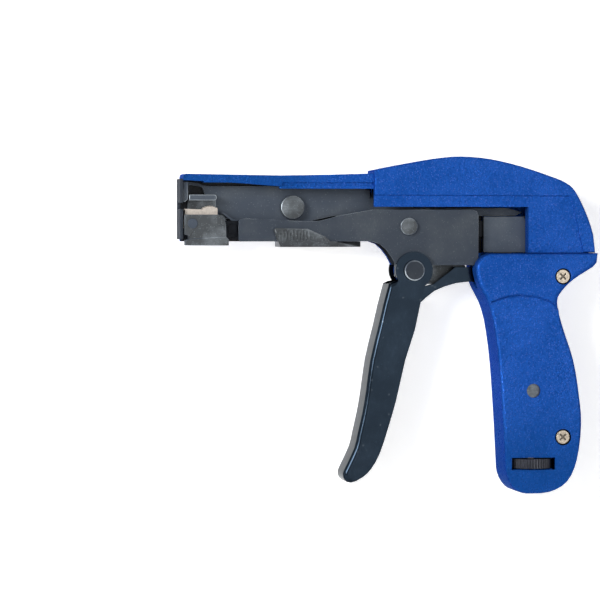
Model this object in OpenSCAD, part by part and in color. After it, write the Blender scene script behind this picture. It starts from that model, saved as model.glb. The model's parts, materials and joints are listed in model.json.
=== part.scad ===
// Cable tie tensioning tool, millimetres.
// Origin: centre of the tie slot's mouth on the nose face. +X runs to the heel of the handle,
// +Z is up, and the side with the cover and the open window faces -Y.

/* [Overall] */
// Length from the nose face to the heel of the handle
tool_l = 161.1; // [158:0.5:166]
// Height of the hump above the tie slot
hump_h = 18.95; // [18:0.25:21]
// Depth of the handle's foot below the tie slot
grip_drop = 110.3; // [108:0.5:116]
// Distance from the nose face to the front of the handle
grip_x0 = 113.1; // [112.6:0.1:113.6]
// Thickness of the casting's walls
shell_t = 2.3; // [2:0.1:2.6]

/* [Barrel] */
// Length of the barrel, from the nose face to the hump
barrel_l = 74.2; // [72:0.2:76]
// Height of the barrel's top above the tie slot
barrel_top = 12.2; // [11.8:0.1:13]
// Depth of the barrel's side walls below the tie slot
barrel_low = 13.5; // [13.3:0.1:14]
// Thickness of the barrel's roof
roof_t = 1.7; // [1.3:0.1:2]
// Thickness of the barrel's right wall
wall_t = 2.4; // [2:0.1:3]
// Length of the thick front stretch of the roof's lip
lip_l = 38; // [30:1:45]
// Height of the groove along the roof's lip
groove_h = 1.3; // [0.8:0.1:1.6]
// Depth of that groove
groove_d = 0.9; // [0.5:0.1:1.2]

/* [Nose] */
// Thickness of the nose plate
nose_t = 1.2; // [1:0.05:1.3]
// Height of the slot that takes the tie
slot_h = 2.28; // [2:0.05:2.8]
// Height of the nose plate above the tie slot
nose_up = 10.3; // [9.9:0.1:11]
// Depth of the nose plate below the tie slot
nose_down = 12.7; // [11:0.1:13]
// Thickness of the cutter blade
blade_t = 1.8; // [1.2:0.1:1.85]
// Height of the cutting edge above the tie slot's middle, at rest
blade_low = 1.6; // [1.5:0.05:2]
// Height of the cutter blade
blade_h = 7.6; // [7.2:0.1:7.8]

/* [Side plate] */
// Thickness of the side plate
side_plate_t = 1.4; // [1.2:0.05:1.6]
// Length of the side plate
plate_l = 92.6; // [90:0.2:92.6]
// Depth of the side plate at its rear
plate_h = 21.2; // [20:0.1:21.6]
// Distance from the nose face to the side plate
plate_x0 = 22.4; // [22:0.1:24]
// Thickness of the pivot plate beside the right wall
pivot_plate_t = 1.5; // [1.2:0.05:1.6]

/* [Pawl and bracket] */
// Thickness of the bracket's outer wall
bracket_t = 1.3; // [1:0.05:1.5]
// Thickness of the bracket's inner wall
bracket_in_t = 1.2; // [1:0.05:1.3]
// Length of the bracket's outer wall
bracket_l = 16.3; // [15.5:0.1:17]
// Width of the gripper pawl
pawl_w = 5; // [4.6:0.1:5.2]
// Radius of the pawl pin
pawl_pin_r = 1.6; // [1.3:0.05:1.8]
// Number of teeth on the pawl
pawl_teeth = 7; // [4:1:9]
// Thickness of the anvil above the tie
anvil_h = 2.27; // [1.8:0.05:2.4]
// Length of the anvil
anvil_l = 10.65; // [9:0.1:10.8]

/* [Pull bar] */
// Thickness of the pull bar
bar_t = 3; // [2.4:0.1:3.2]
// Height of the pull bar
bar_h = 6.2; // [6:0.1:6.4]
// Stroke of the pull bar
stroke = 13; // [11:0.25:13.5]
// Radius of the plate rivet's shank, which also guides the bar
plate_rivet_r = 2.2; // [1.8:0.05:2.3]

/* [Cutter] */
// Thickness of the cutter lever
lever_t = 1.8; // [1.4:0.05:2]
// Distance from the nose face to the cutter lever's rivet
lever_x = 44; // [43:0.1:45]
// Radius of that rivet's head
lever_head_r = 4.6; // [4:0.1:4.6]
// Radius of that rivet's shank
lever_rivet_r = 2.5; // [2:0.1:3]
// Distance from the nose face to the trip lever's pin
trip_x = 150.5; // [150.3:0.1:150.7]
// Radius of the trip pin
trip_pin_r = 1.5; // [1.2:0.05:1.6]

/* [Trigger] */
// Distance from the nose face to the trigger pin
trigger_x = 89.7; // [89.2:0.1:90.2]
// Depth of the trigger pin below the tie slot
trigger_drop = 24.6; // [24.4:0.1:24.9]
// Thickness of the trigger's sheet
trigger_t = 1.4; // [1.2:0.05:1.6]
// Radius of the trigger's ears
ear_r = 7.2; // [6.8:0.1:7.6]
// Height of the trigger below its pin
trigger_h = 81; // [76:0.5:84]
// Reach of the trigger's tip ahead of its pin
trigger_reach = 27.3; // [26:0.1:28]
// Radius of the trigger pin's shank
trigger_pin_r = 2.5; // [2.2:0.05:2.7]
// Radius of the trigger pin's head
trigger_head_r = 3.95; // [3.5:0.05:4.5]
// Swing of the trigger, degrees
swing = 28; // [27:0.5:29]
// Distance from the trigger pin to the link pin
link_arm = 11.6; // [11.3:0.1:11.8]
// Radius of the link pins
link_pin_r = 1.8; // [1.5:0.05:1.9]

/* [Rocker] */
// Distance from the nose face to the rocker's upper pin, at rest
bar_pin_x = 124.5; // [124.3:0.1:124.8]
// Depth of that pin below the tie slot, at rest
bar_pin_drop = 12; // [11.9:0.1:12.1]
// Thickness of each rocker cheek
cheek_t = 1; // [0.8:0.05:1.05]
// Radius of the fulcrum pin
fulcrum_r = 2; // [1.7:0.05:2.2]

/* [Tension gear] */
// Distance from the nose face to the tension rod
rod_x = 135.9; // [135.7:0.1:136.1]
// Radius of the tension rod
rod_r = 2; // [1.8:0.05:2.1]
// Radius of the spring's wire
wire_r = 0.7; // [0.6:0.05:0.75]
// Number of curls in the tension spring
spring_curls = 6; // [4:1:6]
// Radius of the adjusting knob
knob_r = 8.2; // [7.8:0.1:8.3]
// Height of the adjusting knob
knob_h = 3.7; // [3.2:0.1:3.9]
// Number of ridges on the knob
knob_ridges = 45; // [30:1:60]
// Thickness of the tension yoke's strip
yoke_t = 1.5; // [1.2:0.05:1.6]

/* [Handle] */
// Thickness of the cover, from the parting plane to its face
cover_d = 7; // [6.8:0.1:7.2]
// Step from the cover's upper block down to its grip panel
panel_step = 1; // [0.6:0.1:1.2]
// Rounding of the outer edges
edge_r = 1.8; // [1:0.1:1.8]
// Radius of the cover screws' heads
screw_head_r = 2.6; // [2.4:0.05:2.8]
// Radius of the round hole that shows the indicator
sight_r = 2.7; // [2.2:0.1:3]
// Width of the knob's window
window_w = 17; // [16.6:0.1:17.4]
// Height of the knob's window
window_h = 4.7; // [4.5:0.1:5]

/* [Fits] */
// Radial clearance of a pin in its hole
fit = 0.05; // [0.03:0.01:0.09]
// Gap between neighbouring pieces that slide past each other
gap = 0.3; // [0.25:0.01:0.32]

/* [Hidden] */
$fn = 48;

// Overrun of every cut past the face that it opens
cut = 1;
// Thickness of the pins' small heads
head_t = 1.2;

// Depth layers, from the plane where the bar, anvil and bracket meet
bar_plane = -0.2;
pawl_y0 = bar_plane - gap - pawl_w;
plate_in = pawl_y0 - gap;
plate_out = plate_in - side_plate_t;
bracket_out = plate_out - gap - bracket_t;
bracket_in = bar_plane + bracket_in_t;
lever_y0 = bracket_in + gap;
lever_y1 = lever_y0 + lever_t;
wall_in = lever_y1 + gap;
wall_out = wall_in + wall_t;
bar_y0 = bar_plane - bar_t;
cheek_y0 = bar_y0 - gap;
cheek_y1 = bar_plane + gap;
ear_near = plate_out - gap;
ear_far = wall_out + gap;
trigger_near = ear_near - trigger_t;
trigger_far = ear_far + trigger_t;
hump_near = plate_out - shell_t;
yoke_y0 = lever_y1 + gap;
yoke_y1 = yoke_y0 + yoke_t;
yoke_room = 0.7;
hump_in = yoke_y1 + yoke_room;
hump_far = hump_in + shell_t;

// Handle depths
parting = -5;
cover_skin = 2.4;
cover_out = parting - cover_d;
cover_in = cover_out + cover_skin;
grip_out = 2.1;
grip_far = hump_far + grip_out;
grip_in = grip_far - shell_t;

// Heights and lengths of the casting
slot_top = slot_h / 2;
grip_w = tool_l - grip_x0;
grip_top_share = 0.1636;
throat_share = 0.06;
cover_top = -grip_top_share * grip_drop;
seam_gap = gap / 2;
band_h = 3;
band_dip = 0.55;
band_tilt = atan(band_dip / band_h);
step_run = 2;
heel_in = 0.64;
plate_top = -1.4;
plate_bottom = plate_top - plate_h;
plate_x1 = plate_x0 + plate_l;
hump_clear = 1.1;
hump_low = plate_top + hump_clear;
hump_edge_r = 0.8;
fold_z = -barrel_low;
rear_x0 = grip_x0 + throat_share * grip_w;
rear_room_x = rear_x0 + shell_t;
window_x1 = 134.1;
window_bevel = 0.8;
bay_z = 3;

// Barrel roof, its lip and the groove along it
roof_sag = 0.6;
tip_round = 1;
roof_under = barrel_top - roof_t - roof_sag / 4;
roof_front_t = 2.4;
roof_mid_t = 3.3;
roof_front_under = barrel_top - roof_front_t;
roof_mid_under = barrel_top - roof_mid_t;
roof_step_x = 9;
lip_out = 0.8;
lip_t = 1.8;
lip_y0 = plate_out - lip_out;
lip_y1 = lip_y0 + lip_t;
ledge_drop = 4.45;
ledge_z1 = barrel_top - ledge_drop;
ledge_h = 1.15;
ledge_z0 = ledge_z1 - ledge_h;
dimple_r = 0.75;
dimple_x = 2.4;

// Nose plate and cutter blade
nose_over = 0.4;
nose_y0 = plate_out - nose_over;
nose_y1 = wall_in + cut;
slot_y1 = 1.5;
blade_gap = 0.2;
blade_x0 = nose_t + blade_gap;
blade_x1 = blade_x0 + blade_t;
blade_y0 = lip_y1 + blade_gap;
blade_y1 = wall_in - blade_gap;
blade_step = bracket_in;

// Cutter lever: its front edges are shares of the reach to its finger and of its rise there
finger_over = 0.8;
lever_z = -0.5;
lever_rise = 10;
lever_run = lever_x - blade_x0 - finger_over;
lever_head_t = 2.75;
finger_share = 0.84;
finger_z0 = lever_z + finger_share * lever_rise;
lever_front_shares = [[1, 0.98], [0.873, 0.95], [0.825, 0.85], [0.766, 0.81]];
lever_nose_shares = [[0.714, -0.40], [0.804, 0.10], [0.787, 0.28], [0.826, 0.76],
    [0.921, finger_share], [1, finger_share]];
lever_back_shares = [[0, 0.81], [0.163, 0.45], [0.345, -0.02]];
lever_back_x = 70;
strip_z0 = -3.8;
strip_z1 = -0.7;
lever_low_z = -6;

// Trip lever
trip_z = -5;
trip_reach = 17.7;
trip_nose = 2.2;
trip_hub_r = 3.5;
nose_x = trip_x - trip_reach;
strip_over = 1.1;
strip_x1 = nose_x + strip_over;
trip_bite = 1.15;
yoke_arm = 13;
yoke_sink = 1.2;
yoke_pin_x = trip_x - yoke_arm;
yoke_pin_z = trip_z - yoke_sink;
yoke_pin_r = 1.2;

// Bar, bracket, anvil and pawl
bar_z1 = -5.6;
bar_z0 = bar_z1 - bar_h;
bar_x0 = 15.5;
bar_shoulder = 6;
bar_lift = 3.1;
bar_head_x0 = 117.8;
bar_head_x1 = 134.2;
bar_head_z1 = -4;
bar_head_z0 = cover_top + gap;
bar_rivet_r = 1.2;
bar_skin = 0.8;
bar_neck_l = 5.5;
bar_rivet_inset = 5;
bar_rivet_pitch = 9;
bar_rivet_xs = [for (i = [0, 1]) bar_x0 + bar_rivet_inset + i * bar_rivet_pitch];
bracket_z1 = -3.3;
bracket_drop = 1.5;
hem_h = 3.2;
hem_out = 0.4;
hem_over = 1;
bracket_z0 = fold_z - bracket_drop;
bracket_x0 = nose_t + gap;
bracket_x1 = bracket_x0 + bracket_l - bracket_t / 3;
bracket_tail_x = 34;
web_t = 1.1;
tie_room = 0.93;
anvil_x0 = blade_x1 + 1.5 * gap;
anvil_x1 = anvil_x0 + anvil_l;
anvil_z0 = slot_top + tie_room;
anvil_z1 = anvil_z0 + anvil_h;
pawl_pin_x = 4.6;
pawl_pin_z = -6.6;
pawl_x0 = nose_t + gap;
pawl_lean = 0.75;
pawl_x1 = 14.5;
pawl_z1 = 0.15;
pawl_dip = 1.25;
pawl_fall = 0.9;
pawl_crest_x = 11.6;
pawl_teeth_x0 = 8.6;
pawl_lobe_r = 3.1;
tooth_depth = 0.5;
leaf_l = 9;
leaf_t = 0.5;

// Linkage: both short arms are alike, so the link only translates
half_swing = swing / 2;
trigger_z = -trigger_drop;
link_x = trigger_x - link_arm * sin(half_swing);
link_z = trigger_z - link_arm * cos(half_swing);
long_arm = stroke / (2 * sin(half_swing));
bar_pin_z = -bar_pin_drop;
fulcrum_x = bar_pin_x + long_arm * sin(half_swing);
fulcrum_z = bar_pin_z - long_arm * cos(half_swing);
rocker_x = fulcrum_x - link_arm * sin(half_swing);
rocker_z = fulcrum_z + link_arm * cos(half_swing);
bar_rise = long_arm * (1 - cos(half_swing));
link_rise = 2 * link_arm * (1 - cos(half_swing));
link_l = rocker_x - link_x;
link_end_r = 3.4;
link_pin_y0 = ear_near - trigger_t / 2;
link_pin_y1 = ear_far + trigger_t / 2;
fulcrum_y0 = cover_in + gap;
fulcrum_y1 = grip_in - gap;
boss_r = 3.6;

// Rivets and plates
plate_rivet_x = 87.9;
plate_rivet_up = 0.9;
plate_rivet_z = bar_z0 + bar_h / 2 + plate_rivet_up;
plate_rivet_head_r = 1.52 * plate_rivet_r;
lobe_r = 5.5;
plate_corner = 2.3;
fold_inset = 0.4;
fold_l = 15.8;
fold_x0 = plate_x0 + fold_inset;
fold_x1 = fold_x0 + fold_l;
trigger_head_t = 1.45;
pivot_l = 24;
pivot_h = 15;
pivot_over = 5.7;
pivot_up = 9.6;
clip_x0 = 35.6;
clip_l = 24.2;
clip_z1 = -8.4;
clip_t = 1.4;
clip_web_t = 2.1;
clip_z0 = fold_z - clip_web_t;
clip_near = plate_out - clip_t;
clip_far = wall_out + clip_t;
clip_reach = 33.8;
clip_ridges = 11;
ridge_w = 0.36;

// Tension gear
rod_y = -4.6;
seat_z1 = -0.535 * grip_drop;
seat_t = 2;
seat_z0 = seat_z1 - seat_t;
seat_half = 10.8;
rib_h = 3;
rib_in = 7.5;
rib_front = 12.4;
rib_rear = 13.6;
nut_t = 3.5;
nut_half = 5.5;
spring_l = 14.5;
nut_z1 = seat_z0 - spring_l;
nut_z0 = nut_z1 - nut_t;
foot_t = 1.5;
foot_lift = 2;
foot_z0 = seat_z1 + foot_lift;
foot_z1 = foot_z0 + foot_t;
yoke_half = 2.5;
knob_top_share = 0.8794;
knob_z1 = -knob_top_share * grip_drop;
knob_z0 = knob_z1 - knob_h;
shank_w = 2.5;
shank_l = 12.7;
thread_z0 = knob_z0 + shank_l;
shelf_z1 = knob_z0 - gap;
shelf_t = 2.3;
sight_share = 0.642;
sight_z = -sight_share * grip_drop;
coil_r = rod_r + gap + wire_r;
flag_y0 = cover_in + blade_gap;
flag_t = 0.8;
flag_y1 = flag_y0 + flag_t;
trigger_curls = 4;
trigger_wire_r = 0.4;

// Screws in the handle, as shares of its width and depth
screw_shares = [[0.7104, 0.2443], [0.7160, 0.8042]];
screw_shank_r = 1.45;
screw_post_r = 3.4;
screw_sink = 1.4;
screw_room = 0.55;
screw_head_t = 1;
screw_y1 = 4;
SCREWS = [for (s = screw_shares) [grip_x0 + s[0] * grip_w, -s[1] * grip_drop]];
SCREW_FLOORS = [cover_out + screw_sink, cover_out + panel_step + screw_sink];

// Outline of the hump's top, as shares of its length and height
hump_shares = [[0, 0.718], [0.113, 0.823], [0.291, 0.966], [0.390, 1], [0.5155, 0.953],
    [0.650, 0.813], [0.786, 0.612], [0.861, 0.470], [0.906, 0.274], [0.960, -0.237],
    [0.991, -0.700]];

// Outline of the sunken panel on the hump's side, as shares of the same
hump_panel_dip = 0.6;
hump_panel_shares = [[-0.02, 0.2211], [0.868, 0.2061], [0.877, 0.199], [0.8826, 0.18],
    [0.9377, -0.9298], [0.9377, -1.1], [-0.02, -1.1]];

// Outline of the handle from its heel round the rear to the foot, then up the front
heel_shares = [[1, 0.1636], [0.992, 0.196]];
rear_shares = [[0.960, 0.212], [0.806, 0.254], [0.708, 0.295], [0.669, 0.334], [0.708, 0.413],
    [0.800, 0.535], [0.848, 0.657], [0.867, 0.762], [0.833, 0.884], [0.752, 0.960],
    [0.604, 0.996], [0.415, 1]];
front_shares = [[0.415, 1], [0.350, 0.993], [0.296, 0.972], [0.256, 0.935], [0.246, 0.888],
    [0.231, 0.762], [0.208, 0.607], [0.183, 0.494], [0.148, 0.398], [0.108, 0.340],
    [0.060, 0.299], [0.020, 0.262], [0, 0.215], [0.035, 0.183], [0.110, grip_top_share]];

// Curved step across the cover, then the rest of the grip panel below it
panel_shares = [[-0.05, 0.345], [0.099, 0.332], [0.153, 0.3246], [0.2333, 0.3128],
    [0.3417, 0.3046], [0.4875, 0.3114], [0.596, 0.3255], [0.669, 0.347], [1.1, 0.36],
    [1.1, 1.1], [-0.05, 1.1]];

// Edges of the side plate's arm, as shares of its reach to the trigger pin and of its depth
fold_share = (plate_top - fold_z) / plate_h;
arm_top_shares = [[0, 0.21], [0.010, 0.175], [0.034, 0.158], [0.2333, 0.184],
    [0.3777, 0.212], [0.4396, 0.212], [0.4985, 0.175], [0.5676, 0.1085], [0.7647, 0]];
arm_low_shares = [[0.8998, 1], [0.8754, 0.854], [0.8437, 0.717], [0.8078, 0.618],
    [0.7647, fold_share], [0.008, fold_share], [0, 0.53]];
pivot_shares = [[0, 0.13], [0.08, 0], [1, 0], [1, 0.62], [0.94, 0.74], [0.74, 1], [0.20, 1],
    [0, 0.80]];
clip_shares = [[0, 0.10], [0.035, 0], [0.537, 0.04], [0.822, 0.46], [1, 1], [0.107, 1]];

// Outline of the trigger below its ears, as shares of its reach and height
trigger_shares = [[-0.200, 0.030], [-0.110, 0.125], [-0.011, 0.280], [0.125, 0.422],
    [0.253, 0.610], [0.370, 0.746], [0.487, 0.863], [0.604, 0.933], [0.725, 0.973],
    [0.894, 1], [0.978, 0.986], [1, 0.956], [0.956, 0.920], [0.839, 0.836], [0.795, 0.773],
    [0.725, 0.670], [0.678, 0.577], [0.612, 0.421], [0.491, 0.252], [0.374, 0.091],
    [0.282, 0.052]];
// Height share at which the trigger's front web begins
web_top_share = 0.063;

// Drive link: edges as shares of the run from the link pin to the rocker pin
link_top_shares = [[0, -0.082], [0.075, -0.083], [0.172, -0.117], [0.281, -0.146],
    [0.356, -0.205], [0.424, -0.256], [0.480, -0.301], [1, -0.301]];
link_low_shares = [[1, -0.137], [0.617, -0.166], [0.494, -0.153], [0.380, -0.121],
    [0.285, -0.080], [0.214, -0.026], [0.162, 0.020], [0.075, 0.071], [0, 0.081]];

// Smooth curve through a list of points, with n steps to a stretch; it stops short of the last
function curve(p, n) = [for (i = [0 : len(p) - 2]) for (j = [0 : n - 1])
    let (a = p[max(i - 1, 0)], b = p[i], c = p[i + 1], d = p[min(i + 2, len(p) - 1)], t = j / n)
    0.5 * (2 * b + (c - a) * t + (2 * a - 5 * b + 4 * c - d) * t * t
        + (3 * b - a - 3 * c + d) * t * t * t)];

function unit2(v) = v / norm(v);

// Outline drawn in by a distance, for a list that runs clockwise
function inset(p, d) = [for (i = [0 : len(p) - 1])
    let (a = unit2(p[i] - p[(i + len(p) - 1) % len(p)]), b = unit2(p[(i + 1) % len(p)] - p[i]),
        m = unit2(a + b), c = max(m * a, 0.5))
    p[i] + [m[1], -m[0]] * d / c];

// Table of shares set down from a corner, over a width and a depth
function place(shares, x0, z0, w, h) = [for (s = shares) [x0 + s[0] * w, z0 - s[1] * h]];

GRIP = concat(
    place(heel_shares, grip_x0, 0, grip_w, grip_drop),
    curve(place(rear_shares, grip_x0, 0, grip_w, grip_drop), 3),
    curve(place(front_shares, grip_x0, 0, grip_w, grip_drop), 2),
    place([front_shares[len(front_shares) - 1]], grip_x0, 0, grip_w, grip_drop));

HUMP = concat(
    curve(place(hump_shares, barrel_l, 0, tool_l - barrel_l, -hump_h), 3),
    [[tool_l - heel_in, cover_top + seam_gap], [rear_x0, cover_top + seam_gap],
    [rear_x0, hump_low], [barrel_l, hump_low]]);

PLATE = concat(
    place(arm_top_shares, plate_x0, plate_top, trigger_x - plate_x0, plate_h),
    [[plate_x1 - plate_corner, plate_top],
    [plate_x1 - 0.3 * plate_corner, plate_top - 0.3 * plate_corner],
    [plate_x1, plate_top - plate_corner], [plate_x1, plate_bottom]],
    place(arm_low_shares, plate_x0, plate_top, trigger_x - plate_x0, plate_h));

TRIGGER = curve(concat(place(trigger_shares, trigger_x, trigger_z, -trigger_reach, trigger_h),
    place([trigger_shares[0]], trigger_x, trigger_z, -trigger_reach, trigger_h)), 2);

// Height of the pawl's crest line, and the saw teeth along it
function crest(x) = pawl_z1
    - pawl_fall * pow((x - pawl_crest_x) / (pawl_x1 - pawl_crest_x), 2);
TEETH = [for (i = [0 : pawl_teeth - 1])
    let (p = (pawl_x1 - pawl_teeth_x0) / pawl_teeth, x = pawl_teeth_x0 + i * p)
    each [[x, crest(x) - tooth_depth], [x + 0.8 * p, crest(x + 0.8 * p)]]];

// Flat piece standing in the X-Z plane, between two depths
module slab(points, y0, y1) {
    translate([0, y1, 0]) rotate([90, 0, 0]) linear_extrude(y1 - y0) polygon(points);
}

module pin(x, z, r, y0, y1) {
    translate([x, y0, z]) rotate([-90, 0, 0]) cylinder(h = y1 - y0, r = r);
}

module block(x0, x1, y0, y1, z0, z1) {
    translate([x0, y0, z0]) cube([x1 - x0, y1 - y0, z1 - z0]);
}

// Rounded rim along an outline: a quarter-round section carried round it, from the depth where
// the side ends to the depth of the outer face
module rim(points, y_side, y_face, r) {
    n = len(points);
    section = concat([for (a = [0 : 30 : 90])
        [y_side + (y_face - y_side) * sin(a), r * (1 - cos(a))]], [[y_side, r]]);
    corners = [for (s = section) for (p = inset(points, s[1])) [p[0], s[0], p[1]]];
    sides = [for (k = [0 : len(section) - 1]) for (i = [0 : n - 1])
        let (a = k * n, b = (k + 1) % len(section) * n, j = (i + 1) % n)
        y_face > y_side ? [a + i, b + i, b + j, a + j] : [a + i, a + j, b + j, b + i]];
    polyhedron(corners, sides, convexity = 8);
}

// Slab with its near and far edges rounded over, each by its own radius
module rounded_slab(points, y0, y1, r0, r1) {
    slab(points, y0 + r0, y1 - r1);
    if (r0 > 0) {
        rim(points, y0 + r0, y0, r0);
        slab(inset(points, r0), y0, y0 + r0);
    }
    if (r1 > 0) {
        rim(points, y1 - r1, y1, r1);
        slab(inset(points, r1), y1 - r1, y1);
    }
}

// Coil standing on Z: a tube of six sides, with eight rings to a curl
module coil(r, wire, curls, rise) {
    rings = 8 * curls + 1;
    path = [for (i = [0 : rings - 1]) [r * cos(45 * i), r * sin(45 * i), rise * i / (rings - 1)]];
    corners = [for (i = [0 : rings - 1]) for (k = [0 : 5])
        path[i] + wire * [cos(60 * k) * cos(45 * i), cos(60 * k) * sin(45 * i), sin(60 * k)]];
    sides = [for (i = [0 : rings - 2]) for (k = [0 : 5])
        let (a = i * 6 + k, b = i * 6 + (k + 1) % 6)
        each [[a, b, b + 6], [a, b + 6, a + 6]]];
    last = (rings - 1) * 6;
    caps = [for (k = [1 : 4]) each [[0, k + 1, k], [last, last + k, last + k + 1]]];
    polyhedron(corners, concat(sides, caps), convexity = 8);
    echo("least gap between curls",
        min([for (i = [0 : rings - 9]) norm(path[i + 8] - path[i])]) - 2 * wire);
}

// Flat arm with two round ends
module arm(ax, az, ar, bx, bz, br, y0, y1) {
    d = unit2([bx - ax, bz - az]);
    s = [-d[1], d[0]];
    slab([[ax, az] + s * ar, [bx, bz] + s * br, [bx, bz] - s * br, [ax, az] - s * ar], y0, y1);
    pin(ax, az, ar, y0, y1);
    pin(bx, bz, br, y0, y1);
}

// Upright slot in which a pin can rise
module rising_slot(x, z, r, rise, y0, y1) {
    pin(x, z, r, y0, y1);
    pin(x, z + rise, r, y0, y1);
    block(x - r, x + r, y0, y1, z, z + rise);
}

module roof() {
    top = [[nose_t, barrel_top - tip_round], [nose_t + tip_round / 3, barrel_top - tip_round / 4],
        [nose_t + tip_round, barrel_top], [lip_l / 2, barrel_top - roof_sag / 2],
        [lip_l, barrel_top - roof_sag], [(lip_l + barrel_l) / 2, barrel_top - roof_sag / 2],
        [barrel_l + shell_t, barrel_top + roof_sag / 2]];
    slab(concat(top, [[barrel_l + shell_t, roof_under], [lip_l + cut, roof_under],
        [lip_l, roof_mid_under], [roof_step_x, roof_mid_under], [roof_step_x, roof_front_under],
        [nose_t, roof_front_under]]), lip_y0, wall_out);
    slab(concat(top, [[barrel_l + shell_t, ledge_z1 + groove_h], [lip_l + groove_h, ledge_z1 + groove_h],
        [lip_l, ledge_z1 - ledge_h / 4], [0.6 * lip_l, ledge_z1 + 0.8 * ledge_h],
        [nose_t, roof_front_under]]), lip_y0, lip_y1);
    block(lip_l, barrel_l + shell_t, lip_y0 + groove_d, lip_y1, ledge_z0, roof_under + cut / 2);
    block(lip_l, barrel_l + shell_t, lip_y0 + groove_d / 4, lip_y1, ledge_z0, ledge_z1);
}

// Lobe round the trigger pin, joined to the plate above it
module pivot_lobe(y0, y1) {
    pin(trigger_x, trigger_z, lobe_r, y0, y1);
    block(trigger_x - 0.9 * lobe_r, trigger_x + 0.9 * lobe_r, y0, y1, trigger_z, plate_bottom + cut);
}

module right_wall() {
    block(nose_t, barrel_l + shell_t, wall_in, wall_out, fold_z, roof_under + roof_t / 2);
    slab(PLATE, wall_in, wall_out);
    pivot_lobe(wall_in, wall_out);
    block(barrel_l, rear_x0 + cut, wall_in, wall_out, plate_top - cut, hump_low + cut);
    block(plate_x1 - cut, rear_x0 + cut, wall_in, wall_out, plate_bottom, hump_low);
}

// Wall that closes the window's rear, down to the bar
module window_wall() {
    block(window_x1, window_x1 + shell_t / 2, plate_out - cut, bar_y0 - gap,
        cover_top + seam_gap, hump_low + cut);
}

module frame_cavity() {
    slab(inset(HUMP, shell_t), plate_out, wall_in);
    intersection() {
        slab(inset(HUMP, shell_t), plate_out, hump_in);
        block(rear_room_x, tool_l, plate_out, hump_in, cover_top, hump_h);
    }
    block(barrel_l - cut, barrel_l + 2 * shell_t, plate_out, wall_in, fold_z, roof_under);
    block(barrel_l - cut, rear_room_x + cut, plate_out, wall_in, cover_top, bay_z);
    block(rear_room_x, trip_x + trip_hub_r, plate_out, hump_in,
        cover_top - 1.5 * shell_t, cover_top + 1.5 * shell_t);
    slab(inset(GRIP, shell_t), parting - cut, grip_in);
    block(grip_x0 - cut, rear_room_x + shell_t, parting - cut, cheek_y1 + gap,
        rocker_z - link_end_r - 2 * link_rise, cover_top + cut);
    block(rear_x0 - cut, window_x1, hump_near - cut, plate_out + cut, cover_top, hump_low);
}

module frame_bosses() {
    for (s = SCREWS) pin(s[0], s[1], screw_post_r, parting, grip_in + cut);
    pin(fulcrum_x, fulcrum_z, boss_r, cheek_y1 + cheek_t + gap, grip_in + cut);
    block(rod_x - rib_front, rod_x - rib_in, parting, grip_in + cut, seat_z1, seat_z1 + rib_h);
    block(rod_x + rib_in, rod_x + rib_rear, parting, grip_in + cut, seat_z1, seat_z1 + rib_h);
    block(rod_x - knob_r + gap, rod_x + knob_r - gap, cover_in + 2 * gap, grip_in + cut,
        shelf_z1 - shelf_t, shelf_z1);
}

module main_frame() color("royalblue") difference() {
    union() {
        difference() {
            union() {
                rounded_slab(HUMP, hump_near, hump_far, hump_edge_r, edge_r);
                rounded_slab(GRIP, parting, grip_far, 0, edge_r);
                block(rear_x0, tool_l - heel_in - edge_r, parting, hump_far,
                    cover_top - cut, cover_top + edge_r + cut);
            }
            frame_cavity();
        }
        roof();
        window_wall();
        right_wall();
        frame_bosses();
    }
    translate([0, 0, cover_top]) linear_extrude(hump_low - cover_top)
        polygon([[window_x1 + window_bevel + cut, hump_near - cut], [window_x1 - cut, hump_near - cut],
            [window_x1 - cut, hump_near + window_bevel + cut]]);
    slab(place(hump_panel_shares, barrel_l, 0, tool_l - barrel_l, -hump_h),
        hump_near - cut, hump_near + hump_panel_dip);
    pin(dimple_x, barrel_top - tip_round, dimple_r, lip_y0 - cut, lip_y0 + dimple_r / 2);
    pin(lever_x, lever_z, lever_rivet_r + fit, wall_in - cut, wall_out + cut);
    pin(plate_rivet_x, plate_rivet_z, plate_rivet_r + fit, wall_in - cut, wall_out + cut);
    pin(trigger_x, trigger_z, trigger_pin_r + fit, wall_in - cut, wall_out + cut);
    pin(trip_x, trip_z, trip_pin_r + fit, plate_out - trip_bite - fit, hump_in + trip_bite + fit);
    pin(fulcrum_x, fulcrum_z, fulcrum_r + fit, cheek_y1, fulcrum_y1 + fit);
    for (s = SCREWS) pin(s[0], s[1], screw_shank_r + fit, parting - cut, screw_y1 + fit);
    translate([rod_x, rod_y, shelf_z1 - shelf_t - cut]) cylinder(h = shelf_t + 2 * cut, r = rod_r + gap);
}

// Slope along the curved step: a four-sided section carried from point to point of the outline
module step_slope(points) {
    section = [[cover_out - cut, step_run * cut / panel_step], [cover_out - cut, -step_run - cut],
        [cover_out + panel_step, -step_run - cut], [cover_out + panel_step, -step_run]];
    corners = [for (p = points) for (s = section) [p[0], s[0], p[1] + s[1]]];
    last = 4 * (len(points) - 1);
    sides = [for (i = [0 : len(points) - 2]) for (k = [0 : 3])
        let (a = 4 * i + k, b = 4 * i + (k + 1) % 4) [a, a + 4, b + 4, b]];
    polyhedron(corners, concat(sides, [[0, 1, 2, 3], [last + 3, last + 2, last + 1, last]]),
        convexity = 4);
}

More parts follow.
